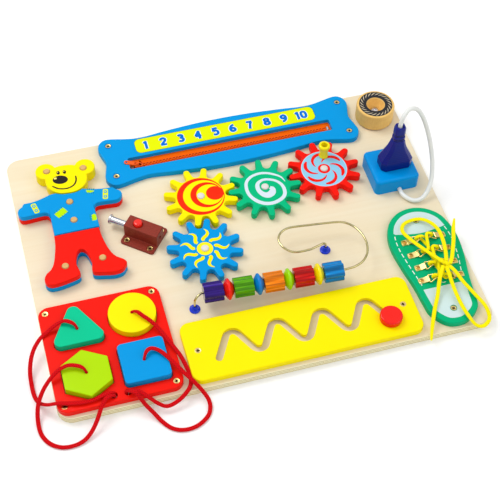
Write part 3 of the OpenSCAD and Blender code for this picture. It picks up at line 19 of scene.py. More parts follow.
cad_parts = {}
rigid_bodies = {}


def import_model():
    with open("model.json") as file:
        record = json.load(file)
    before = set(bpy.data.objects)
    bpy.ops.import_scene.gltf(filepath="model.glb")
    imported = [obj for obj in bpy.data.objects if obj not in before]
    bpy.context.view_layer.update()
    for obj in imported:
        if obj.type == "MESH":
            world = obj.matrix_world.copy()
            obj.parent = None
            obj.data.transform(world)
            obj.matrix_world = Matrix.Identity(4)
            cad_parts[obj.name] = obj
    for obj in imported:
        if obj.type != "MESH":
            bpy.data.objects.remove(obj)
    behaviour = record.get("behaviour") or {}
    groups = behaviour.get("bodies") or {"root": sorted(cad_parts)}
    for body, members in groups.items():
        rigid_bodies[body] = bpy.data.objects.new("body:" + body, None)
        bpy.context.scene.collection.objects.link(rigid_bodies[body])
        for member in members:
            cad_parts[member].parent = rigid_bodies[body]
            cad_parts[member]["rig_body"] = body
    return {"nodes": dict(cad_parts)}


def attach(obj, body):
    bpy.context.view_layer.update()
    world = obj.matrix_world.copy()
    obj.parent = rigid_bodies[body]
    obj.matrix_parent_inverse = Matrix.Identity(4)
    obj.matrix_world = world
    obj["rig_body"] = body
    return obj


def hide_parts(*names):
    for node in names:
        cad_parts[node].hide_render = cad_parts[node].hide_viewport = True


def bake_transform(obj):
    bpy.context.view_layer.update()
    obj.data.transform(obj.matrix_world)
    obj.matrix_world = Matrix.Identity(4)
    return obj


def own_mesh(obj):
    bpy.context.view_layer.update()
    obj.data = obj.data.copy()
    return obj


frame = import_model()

log = logging.getLogger("busy_board")

MM = 0.001
Point = tuple[float, float]
Point3 = tuple[float, float, float]
Colour = tuple[float, float, float]
Points = Sequence[Point]
Route = Sequence[Point3]
Line = Sequence[Vector]

BOARD_TOP = 12.0
PANEL_TOP = 21.0
PANEL_RIM = PANEL_TOP - 1.0  # edges above this level belong to a panel's upper face
SHOE_SCREWS: Points = ((250, -42), (246.5, -197))
LACE_SCREWS: Points = ((220, -76), (221, -99.5), (223, -122), (220, -144),
                       (277, -75), (277, -98.5), (277, -123), (277, -146.5))

# Mesh making, in metres and radians
MERGE = 2e-6
FLAT = math.radians(0.6)

# Mesh making, in millimetres
THINNEST = 0.02  # half the width that a ribbon runs out to
PRINT_FOOT = 0.05  # how far a print reaches into its face
FIGURE_STEP = 9.6  # from one figure of a number to the next
MOUTH = 11.0  # how far from its end a flat cord keeps the width of its hole
MOUTH_BLEND = 12.0  # where it then opens to its full width
BORE_FILL = 0.92  # its thickness in the hole, as a share of its width there
LEVELLING = 0.35  # how strongly a flat cord turns level at each step
OFF_AXIS = Vector((0.31, 0.52, 0.8))  # a direction that no round cord runs along


# Shader maths


def linear(red: int, green: int, blue: int) -> Colour:
    """Turns a display colour into the linear one that shaders use.

    Args:
        red: its red, 0 to 255.
        green: its green.
        blue: its blue.

    Returns:
        The linear colour.
    """

    def channel(value: int) -> float:
        """One channel's linear value."""
        share = value / 255
        return share / 12.92 if share <= 0.04045 else ((share + 0.055) / 1.055) ** 2.4

    return channel(red), channel(green), channel(blue)


def lighter(colour: Colour, share: float) -> Colour:
    """A colour moved towards white by a share, or towards black by a negative one."""
    target = 1.0 if share > 0 else 0.0
    return tuple(c + (target - c) * abs(share) for c in colour)


Value = Union["Signal", float]
Shade = Union["Signal", Colour]


def operator(operation: str, reflected: bool = False) -> Callable[..., "Signal"]:
    """A method of Signal that works its value out with one Math node.

    Args:
        operation: the node's operation.
        reflected: whether the signal comes after the other values.

    Returns:
        The method.
    """

    def method(self: "Signal", *others: Value) -> "Signal":
        """Adds the Math node."""
        return self.graph.math(operation, *((*others, self) if reflected else (self, *others)))

    return method


class Signal:
    """A node's output that takes part in Python arithmetic."""

    def __init__(self, graph: "Graph", socket: bpy.types.NodeSocket) -> None:
        """Keeps the socket and the graph that it belongs to."""
        self.graph = graph
        self.socket = socket

    __add__, __radd__ = operator("ADD"), operator("ADD", True)
    __sub__, __rsub__ = operator("SUBTRACT"), operator("SUBTRACT", True)
    __mul__, __rmul__ = operator("MULTIPLY"), operator("MULTIPLY", True)
    __truediv__ = operator("DIVIDE")
    __pow__ = operator("POWER")
    __abs__ = operator("ABSOLUTE")
    sin, cos = operator("SINE"), operator("COSINE")  # of an angle in radians
    wrapped = operator("WRAP")  # into a range given as its high and low ends
    high = operator("MAXIMUM")
    above = operator("GREATER_THAN")

    def inside(self, blur: float = 0.25) -> "Signal":
        """1 where a signed distance is below zero, with a narrow blurred edge."""
        return self.graph.clamped(0.5 - self / blur)


class Graph:
    """The node tree of one material, or of the world."""

    def __init__(self, name: str, world: bool = False) -> None:
        """Starts an empty tree.

        Args:
            name: its name.
            world: whether it is a world and not a material.
        """
        self.owner = (bpy.data.worlds if world else bpy.data.materials).new(name)
        self.owner.use_nodes = True
        self.tree = self.owner.node_tree
        self.tree.nodes.clear()

    def add(self, kind: str, settings: Optional[dict] = None,
            inputs: Optional[dict] = None) -> bpy.types.Node:
        """Adds a node.

        Args:
            kind: the node's type.
            settings: attributes that are set first; "stops" holds a ramp's (place, colour) pairs.
            inputs: values or signals for its sockets, by name or number.

        Returns:
            The new node.
        """
        node = self.tree.nodes.new(kind)
        for key, value in (settings or {}).items():
            if key == "stops":
                for stop, (place, colour) in zip(node.color_ramp.elements, value):
                    stop.position, stop.color = place, (*colour, 1.0)
            else:
                setattr(node, key, value)
        for key, value in (inputs or {}).items():
            if isinstance(value, Signal):
                self.tree.links.new(value.socket, node.inputs[key])
            elif isinstance(value, tuple) and node.inputs[key].type == "RGBA":
                node.inputs[key].default_value = (*value[:3], 1.0)
            else:
                node.inputs[key].default_value = value
        return node

    def get(self, node: bpy.types.Node, output: Union[str, int] = 0) -> Signal:
        """One of a node's outputs as a signal."""
        return Signal(self, node.outputs[output])

    def math(self, operation: str, *values: Value) -> Signal:
        """A Math node on up to three values."""
        return self.get(self.add("ShaderNodeMath", {"operation": operation},
                                 dict(enumerate(values))))

    def clamped(self, value: Signal) -> Signal:
        """A value held between 0 and 1."""
        return self.get(self.add("ShaderNodeClamp", None, {"Value": value}))

    def mix(self, share: Value, first: Shade, second: Shade) -> Signal:
        """Two colours mixed by a share."""
        node = self.add("ShaderNodeMix", {"data_type": "RGBA"}, {0: share, 6: first, 7: second})
        return self.get(node, 2)

    def place(self, centre: Point3 = (0, 0, 0), turn: Point3 = (0, 0, 0),
              scale: Point3 = (1, 1, 1)) -> Signal:
        """Object coordinates in millimetres.

        Args:
            centre: the point that they are measured from.
            turn: the pattern's turn, in radians.
            scale: how much they are then stretched.

        Returns:
            The place.
        """
        source = self.get(self.add("ShaderNodeTexCoord"), "Object")
        moved = self.add("ShaderNodeVectorMath", {"operation": "MULTIPLY_ADD"},
                         {0: source, 1: (1 / MM,) * 3, 2: tuple(-c for c in centre)})
        spot = self.get(moved)
        if any(turn):
            spot = self.get(self.add("ShaderNodeMapping", {"vector_type": "POINT"},
                                     {"Vector": spot, "Rotation": tuple(-a for a in turn)}))
        if scale != (1, 1, 1):
            spot = self.get(self.add("ShaderNodeVectorMath", {"operation": "MULTIPLY"},
                                     {0: spot, 1: scale}))
        return spot

    def split(self, vector: Signal) -> tuple[Signal, Signal, Signal]:
        """The three parts of a vector."""
        node = self.add("ShaderNodeSeparateXYZ", None, {0: vector})
        return self.get(node, 0), self.get(node, 1), self.get(node, 2)

    def height(self) -> Signal:
        """The height in Object space, in millimetres."""
        return self.split(self.place())[2]

    def noise(self, vector: Signal, scale: float, detail: float = 2.0,
              rough: float = 0.5) -> Signal:
        """Smooth noise from 0 to 1.

        Args:
            vector: the place.
            scale: how many features lie in a unit of it.
            detail: how many finer layers it has.
            rough: how strong these are.

        Returns:
            The noise.
        """
        node = self.add("ShaderNodeTexNoise", None,
                        {"Vector": vector, "Scale": scale, "Detail": detail, "Roughness": rough})
        return self.get(node, "Fac")

    def bump(self, height: Signal, distance: float, strength: float = 1.0) -> Signal:
        """A bump.

        Args:
            height: the height, 0 to 1.
            distance: what 1 stands for, in millimetres.
            strength: how much of it shows.

        Returns:
            The normal.
        """
        node = self.add("ShaderNodeBump", None,
                        {"Height": height, "Distance": distance * MM, "Strength": strength})
        return self.get(node)

    def facing_up(self) -> Signal:
        """Tells faces that look up from upright ones.

        Returns:
            1 on the former, 0 on the latter.
        """
        normal = self.get(self.add("ShaderNodeNewGeometry"), "True Normal")
        local = self.add("ShaderNodeVectorTransform",
                         {"vector_type": "NORMAL", "convert_from": "WORLD", "convert_to": "OBJECT"},
                         {0: normal})
        return self.split(self.get(local))[2]

    def surface(self, **sockets: Union[Value, Colour]) -> Material:
        """Closes the tree with one Principled shader.

        Args:
            sockets: the shader's inputs, with _ for a space in their names.

        Returns:
            The finished material.
        """
        shader = self.add("ShaderNodeBsdfPrincipled", None,
                          {name.replace("_", " "): value for name, value in sockets.items()})
        self.add("ShaderNodeOutputMaterial", None, {0: self.get(shader)})
        return self.owner


def radial(graph: Graph, centre: Point) -> tuple[Signal, Signal]:
    """The distance from an upright axis in millimetres, and the angle round it in radians."""
    x, y, _ = graph.split(graph.place((*centre, 0)))
    return (x * x + y * y) ** 0.5, graph.math("ARCTAN2", y, x)


def disc(graph: Graph, centre: Point, radius: Value) -> Signal:
    """1 inside an upright cylinder of Object space, in millimetres."""
    return (radial(graph, centre)[0] - radius).inside(0.3)


# Finishes

Print = Callable[[Graph], list[tuple[Signal, Shade]]]


def overprinted(g: Graph, colour: Signal, layers: Optional[Print]) -> Signal:
    """Lays a print over a ground colour.

    Args:
        g: the material's graph.
        colour: the ground colour.
        layers: the print, where there is one.

    Returns:
        The colour of both.
    """
    for mask, shade in (layers(g) if layers else []):
        colour = g.mix(mask, colour, shade)
    return colour


@dataclass(frozen=True)
class Paint:
    """Gloss paint on wood: soft mottling, faint raised grain and a clear coat."""

    name: str
    colour: Colour
    roughness: float = 0.34
    coat: float = 0.03
    grain_turn: float = 0.0
    printed: Optional[Print] = None
    gloss: float = 0.06

    def material(self) -> Material:
        """Builds the paint, with its print where it has one.

        Returns:
            The material.
        """
        g = Graph(self.name)
        spot = g.place()
        along = g.place(turn=(0, 0, self.grain_turn), scale=(0.03, 0.45, 0.45))
        mottle = g.noise(spot, 0.02, 3)
        grain = g.noise(along, 1.0, 4, 0.6)
        colour = overprinted(g, g.mix(mottle, lighter(self.colour, -0.08), self.colour),
                             self.printed)
        colour = g.mix(grain * 0.05, colour, lighter(self.colour, -0.3))
        peel = g.noise(spot, 0.7, 2)
        rough = self.roughness + mottle * 0.08 + grain * 0.04 - 0.06
        return g.surface(Base_Color=colour, Roughness=rough, Specular_IOR_Level=self.gloss,
                         Coat_Weight=self.coat, Coat_Roughness=0.08,
                         Normal=g.bump(grain * 0.7 + peel * 0.3, 0.06, 0.6))


@dataclass(frozen=True)
class Plywood:
    """Lacquered birch plywood: pale streaked faces and stacked plies on the edges."""

    name: str
    face: Colour = linear(235, 224, 198)
    streak: Colour = linear(226, 207, 170)
    ply: Colour = linear(251, 247, 206)
    core: Colour = linear(214, 199, 150)
    glue: Colour = linear(172, 148, 104)
    plies: int = 7
    thickness: float = BOARD_TOP

    def _face(self, g: Graph, grain: Signal, pores: Signal) -> Signal:
        """The flat faces' colour: long streaks and short dark pores.

        Args:
            g: the material's graph.
            grain: noise for the streaks.
            pores: noise for the pores.

        Returns:
            The colour.
        """
        figure = g.noise(g.place(scale=(0.0016, 0.016, 0.016)), 1.0, 3, 0.5)
        colour = g.mix(g.clamped(grain * 0.9 + figure * 0.7 - 0.35), self.face, self.streak)
        return g.mix(g.clamped((pores - 0.62) * 2.4) * 0.35, colour, lighter(self.streak, -0.25))

    def _edge(self, g: Graph) -> Signal:
        """The cut edges' colour: light and dark plies in turn, with thin glue lines between.

        Args:
            g: the material's graph.

        Returns:
            The colour.
        """
        even = (g.height() / (self.thickness / self.plies) * math.pi).sin()
        colour = g.mix(g.clamped(even * 4.0 + 0.5), self.core, self.ply)
        fibre = g.noise(g.place(scale=(0.5, 0.5, 0.05)), 1.0, 3)
        colour = g.mix(fibre * 0.12, colour, self.glue)
        return g.mix(g.clamped((abs(even) - 0.1) * 9.0), self.glue, colour)

    def material(self) -> Material:
        """Builds the plywood.

        Returns:
            The material.
        """
        g = Graph(self.name)
        grain = g.noise(g.place(scale=(0.004, 0.11, 0.11)), 1.0, 5, 0.62)
        pores = g.noise(g.place(scale=(0.09, 1.4, 1.4)), 1.0, 2, 0.7)
        up = g.clamped((abs(g.facing_up()) - 0.6) * 5.0)
        return g.surface(Base_Color=g.mix(up, self._edge(g), self._face(g, grain, pores)),
                         Roughness=0.42 + grain * 0.12, Specular_IOR_Level=0.2,
                         Coat_Weight=0.06, Coat_Roughness=0.25,
                         Normal=g.bump(grain * 0.5 + pores * 0.5, 0.05, 0.5))


@dataclass(frozen=True)
class Beech:
    """Turned or sawn beech with short darker flecks along its grain."""

    name: str
    colour: Colour
    dark: Colour
    scale: Point3 = (0.9, 0.9, 0.06)
    printed: Optional[Print] = None

    def material(self) -> Material:
        """Builds the wood, with its print where it has one.

        Returns:
            The material.
        """
        g = Graph(self.name)
        fleck = g.noise(g.place(scale=self.scale), 1.0, 4, 0.65)
        rings = g.noise(g.place(scale=(0.05, 0.35, 0.2)), 1.0, 3)
        wood = g.mix(g.clamped(fleck * 0.8 + rings * 0.6 - 0.35), self.colour, self.dark)
        return g.surface(Base_Color=overprinted(g, wood, self.printed),
                         Roughness=0.45 + fleck * 0.15, Specular_IOR_Level=0.25,
                         Normal=g.bump(fleck, 0.08, 0.6))


@dataclass(frozen=True)
class Metal:
    """Plated or bare metal with fine scratches and slight tarnish."""

    name: str
    colour: Colour
    roughness: float = 0.25
    tarnish: float = 0.25
    scale: float = 0.5

    def material(self) -> Material:
        """Builds the metal.

        Returns:
            The material.
        """
        g = Graph(self.name)
        spot = g.place()
        cloud = g.noise(spot, self.scale, 4, 0.6)
        scratch = g.noise(g.place(scale=(0.2, 3.0, 3.0)), 1.0, 3)
        colour = g.mix(g.clamped(cloud - 0.35) * self.tarnish * 2, self.colour,
                       lighter(self.colour, -0.55))
        return g.surface(Base_Color=colour, Metallic=1.0,
                         Roughness=self.roughness + cloud * 0.12 + scratch * 0.06 - 0.06,
                         Normal=g.bump(scratch, 0.01, 0.4))


@dataclass(frozen=True)
class Plastic:
    """Moulded plastic: an even colour with a fine grain, clear or opaque."""

    name: str
    colour: Colour
    roughness: float = 0.3
    coat: float = 0.2
    clear: float = 0.0
    grain: float = 0.03

    def material(self) -> Material:
        """Builds the plastic.

        Returns:
            The material.
        """
        g = Graph(self.name)
        spot = g.place()
        cloud = g.noise(spot, 0.08, 3)
        fine = g.noise(spot, 3.0, 2)
        colour = g.mix(cloud, lighter(self.colour, -0.16), self.colour)
        return g.surface(Base_Color=colour, Roughness=self.roughness + cloud * 0.08 - 0.04,
                         Specular_IOR_Level=0.3, Coat_Weight=self.coat, Coat_Roughness=0.05,
                         Transmission_Weight=self.clear, IOR=1.46,
                         Normal=g.bump(fine, self.grain, 0.5))


@dataclass(frozen=True)
class Tinted:
    """Clear tinted plastic of a fluted bead, with lighter and darker streaks along its run that are
    painted highlight and painted shade.
    """

    name: str
    colour: Colour
    glow: Colour
    run: float

    def material(self) -> Material:
        """Builds the plastic.

        Returns:
            The material.
        """
        g = Graph(self.name)
        streak = g.noise(g.place(turn=(0, 0, self.run), scale=(0.016, 0.36, 0.36)), 1.0, 2, 0.4)
        cloud = g.noise(g.place(), 0.12, 2)
        # Painted shade in the darker streaks and painted highlight in the paler ones, standing for
        # the bands that light makes in the flutes.
        colour = g.mix(g.clamped((streak - 0.36) * 4.0), lighter(self.colour, -0.5), self.colour)
        colour = g.mix(g.clamped((streak - 0.58) * 7.0) * 0.6, colour, self.glow)
        return g.surface(Base_Color=colour, Roughness=0.08 + cloud * 0.06, Specular_IOR_Level=0.2,
                         Coat_Weight=0.14, Coat_Roughness=0.02, Transmission_Weight=0.06, IOR=1.46,
                         Normal=g.bump(streak, 0.06, 0.5))


@dataclass(frozen=True)
class Hammered:
    """Hammered enamel: a glossy coat over small dimples."""

    name: str
    colour: Colour

    def material(self) -> Material:
        """Builds the enamel.

        Returns:
            The material.
        """
        g = Graph(self.name)
        spot = g.place()
        dimples = g.get(g.add("ShaderNodeTexVoronoi", {"feature": "SMOOTH_F1"},
                              {"Vector": spot, "Scale": 0.55, "Smoothness": 0.6}), "Distance")
        colour = g.mix(g.clamped(dimples * 1.2), self.colour, lighter(self.colour, -0.3))
        return g.surface(Base_Color=colour, Metallic=0.1, Roughness=0.34 + dimples * 0.2,
                         Specular_IOR_Level=0.2, Coat_Weight=0.06, Coat_Roughness=0.1,
                         Normal=g.bump(dimples, 0.3, 0.7))


@dataclass(frozen=True)
class Braid:
    """Braided or woven cord, read from the UV map: U runs along it in metres, V round it."""

    name: str
    colour: Colour
    pitch: float = 3.0
    strands: int = 4
    sheen: float = 0.4
    roughness: float = 0.75
    relief: float = 0.25
    # How much darker the grooves between strands are painted: painted shade.
    depth: float = 0.45

    def material(self) -> Material:
        """Builds the cord.

        Returns:
            The material.
        """
        g = Graph(self.name)
        along, around, _ = g.split(g.get(g.add("ShaderNodeUVMap"), "UV"))
        turn = around * (2 * math.pi * self.strands)
        run = along * (2 * math.pi / (self.pitch * MM))
        left = (turn + run).cos() * 0.5 + 0.5
        right = (turn - run).cos() * 0.5 + 0.5
        weave = left.high(right)
        fuzz = g.noise(g.place(), 2.5, 3)
        # Painted shade: darker where the weave sinks between strands.
        colour = g.mix(g.clamped(weave * 1.3 + fuzz * 0.5 - 0.3), lighter(self.colour, -self.depth),
                       self.colour)
        return g.surface(Base_Color=colour, Roughness=self.roughness + fuzz * 0.1,
                         Sheen_Weight=self.sheen, Specular_IOR_Level=0.12,
                         Normal=g.bump(weave * 0.8 + fuzz * 0.2, self.relief, 0.8))


@dataclass(frozen=True)
class WovenTape:
    """Ribbed woven tape, read from Object coordinates."""

    name: str
    colour: Colour
    rib: float = 1.2

    def material(self) -> Material:
        """Builds the tape.

        Returns:
            The material.
        """
        g = Graph(self.name)
        spot = g.place()
        x, y, _ = g.split(spot)
        turn = 2 * math.pi / self.rib
        ribs = (x * turn).sin() * (y * turn).sin() * 0.5 + 0.5
        fuzz = g.noise(spot, 1.5, 3)
        # Painted shade: the tape is darker between its ribs.
        colour = g.mix(g.clamped(ribs * 0.8 + fuzz * 0.4), lighter(self.colour, -0.3), self.colour)
        return g.surface(Base_Color=colour, Roughness=0.8 + fuzz * 0.1, Specular_IOR_Level=0.1,
                         Normal=g.bump(ribs, 0.12, 0.7))


@dataclass(frozen=True)
class RibbedPlastic:
    """Moulded plastic with level ribs and grip grooves, for the plug, with painted shade in the
    grooves and between the ribs.
    """

    name: str
    colour: Colour
    groove_tone: Colour = linear(6, 8, 40)
    pitch: float = 3.4
    ribs: Point = (44.0, 76.0)
    grooves: Sequence[float] = (92.8, 96.4, 101.6, 105.0)
    groove_half: float = 0.55

    def material(self) -> Material:
        """Builds the plastic.

        Returns:
            The material.
        """
        g = Graph(self.name)
        height = g.height()
        wave = (height * (2 * math.pi / self.pitch)).sin() * 0.5 + 0.5
        low, high = self.ribs
        band = (abs(height - (low + high) / 2) - (high - low) / 2).inside(4.0)
        cuts = [(abs(height - level) - self.groove_half).inside(0.3) for level in self.grooves]
        cut = cuts[0]
        for other in cuts[1:]:
            cut = cut.high(other)
        cloud = g.noise(g.place(), 0.08, 3)
        colour = g.mix(cloud, lighter(self.colour, -0.2), self.colour)
        # Painted shade: darker in the hollows between the ribs, and near-black in the grip grooves.
        colour = g.mix(band * (1 - wave) * 0.3, colour, lighter(self.colour, -0.45))
        colour = g.mix(cut * 0.85, colour, self.groove_tone)
        return g.surface(Base_Color=colour, Roughness=0.32 + cloud * 0.08, Specular_IOR_Level=0.25,
                         Coat_Weight=0.06, Normal=g.bump(wave * band * 0.5 - cut, 0.3, 0.6))


Finish = Union[Paint, Plywood, Beech, Metal, Plastic, Tinted, Hammered, Braid, WovenTape,
               RibbedPlastic]


class Hue(Enum):
    """The board's colours."""

    BLUE = linear(0, 151, 222)
    RED = linear(244, 24, 10)
    YELLOW = linear(253, 235, 0)
    LIME = linear(176, 222, 0)
    TEAL = linear(0, 196, 144)
    GREEN = linear(0, 184, 124)
    PALE = linear(205, 228, 228)
    NAVY = linear(2, 22, 132)
    BLACK = linear(35, 35, 40)
    WHITE = linear(242, 242, 240)


# Meshes


def metres(point: Sequence[float]) -> Vector:
    """A point in millimetres as a vector in metres."""
    return Vector(point) * MM


def polar(radius: float, degrees: float) -> Vector:
    """A flat vector from a length and an angle."""
    return Vector((radius * math.cos(math.radians(degrees)),
                   radius * math.sin(math.radians(degrees))))


def smooth_path(points: Sequence[Sequence[float]], steps: int) -> list[Vector]:
    """A smooth open path through points, by the same curve as the solids' routes.

    Args:
        points: the points that the path passes.
        steps: straight steps between two points.

    Returns:
        The path's points.
    """
    p = [Vector(q) for q in points]
    last = len(p) - 1
    path = []
    for i in range(last):
        a, b, c, d = p[max(i - 1, 0)], p[i], p[i + 1], p[min(i + 2, last)]
        path += [spline_point(a, b, c, d, k / steps) for k in range(steps)]
    return path + [p[last]]


def smooth_loop(points: Sequence[Sequence[float]], steps: int) -> list[Vector]:
    """Runs a smooth curve through points and back to the first.

    Args:
        points: the points.
        steps: straight steps between two of them.

    Returns:
        The outline.
    """
    p = [Vector(q) for q in points]
    n = len(p)
    return [spline_point(p[i - 1], p[i], p[(i + 1) % n], p[(i + 2) % n], k / steps)
            for i in range(n) for k in range(steps)]


def spline_point(a: Vector, b: Vector, c: Vector, d: Vector, t: float) -> Vector:
    """A point at share t of the way from b to c on the curve through four points."""
    return 0.5 * (2 * b + (c - a) * t + (2 * a - 5 * b + 4 * c - d) * t * t
                  + (3 * b - a - 3 * c + d) * t * t * t)


def path_length(points: Line) -> float:
    """The length of a path, in the unit of its points."""
    return sum((b - a).length for a, b in zip(points, points[1:]))


def directions_of(path: Line) -> list[Vector]:
    """The way that a path runs at each of its points."""
    return [(b - a).normalized() for a, b in zip([path[0], *path], [*path[1:], path[-1]])]


def square_to(run: Vector) -> Vector:
    """A flat direction turned a quarter anticlockwise."""
    return Vector((-run.y, run.x))


# Flat outlines, in millimetres


def oval(centre: Point, half_l: float, half_w: float, turn: float = 0.0) -> list[Vector]:
    """An ellipse.

    Args:
        centre: its middle.
        half_l: its half length.
        half_w: its half width.
        turn: its turn in degrees.

    Returns:
        Its outline, anticlockwise.
    """
    along, across = polar(half_l, turn), polar(half_w, turn + 90)
    return [Vector(centre) + along * math.cos(math.radians(a)) + across * math.sin(math.radians(a))
            for a in range(0, 360, 9)]


def plate(centre: Point, length: float, width: float, radius: float,
          turn: float = 0.0) -> list[Vector]:
    """A rounded rectangle.

    Args:
        centre: its middle.
        length: its size along X.
        width: its size along Y.
        radius: that of its corners.
        turn: its turn in degrees.

    Returns:
        Its outline, anticlockwise.
    """
    points = []
    for x, y, start in ((1, 1, 0), (-1, 1, 90), (-1, -1, 180), (1, -1, 270)):
        corner = Vector((x * (length / 2 - radius), y * (width / 2 - radius)))
        points += [corner + polar(radius, start + 15 * k) for k in range(7)]
    spin = Matrix.Rotation(math.radians(turn), 2)
    return [Vector(centre) + spin @ p for p in points]


def ribbon(line: Route, steps: int = 6) -> list[Vector]:
    """A band along a curve.

    Args:
        line: the curve's points as (x, y, half width).
        steps: straight steps between two of them.

    Returns:
        Its outline.
    """
    path = smooth_path(line, steps)
    flat = [p.to_2d() for p in path]
    sides = [square_to(run) * max(p.z, THINNEST) for p, run in zip(path, directions_of(flat))]
    return ([p + side for p, side in zip(flat, sides)]
            + [p - side for p, side in zip(flat, sides)][::-1])


def pulled_in(outline: Line, distance: float) -> list[Vector]:
    """Moves a closed outline inwards.

    Args:
        outline: the outline, anticlockwise.
        distance: how far.

    Returns:
        The smaller outline.
    """
    after = [*outline[1:], outline[0]]
    return [p + square_to((b - a).normalized()) * distance
            for p, a, b in zip(outline, [outline[-1], *outline], after)]


# Tests that say by an edge's middle, in millimetres, whether it is rounded

Test = Callable[[Vector], bool]


def above(level: float) -> Test:
    """A test for points above a level."""
    return lambda p: p.z > level


def clear_of(centres: Iterable[Point], radius: float, level: float = -math.inf) -> Test:
    """A test for points above a level and farther than a radius from some upright axes."""
    return lambda p: p.z > level and all((p.to_2d() - Vector(c)).length > radius for c in centres)


def outside(centre: Point, half: Point, level: float = -math.inf) -> Test:
    """A test for points above a level and off an upright box with these half sizes."""
    return lambda p: p.z > level and any(abs(a - b) > room for a, b, room in zip(p, centre, half))


def only(geometry: Iterable, kind: type) -> list:
    """The parts of a bmesh result that are of one kind."""
    return [part for part in geometry if isinstance(part, kind)]


def closed(bm: BMesh, name: str, angle: float) -> Object:
    """Ends a bmesh as an object that isn't linked yet.

    Args:
        bm: the bmesh, which is freed.
        name: the object's name.
        angle: edges sharper than this, in degrees, stay sharp in shading.

    Returns:
        The object.
    """
    data = bpy.data.meshes.new(name)
    bm.to_mesh(data)
    bm.free()
    data.polygons.foreach_set("use_smooth", [True] * len(data.polygons))
    data.set_sharp_from_angle(angle=math.radians(angle))
    return bpy.data.objects.new(name, data)


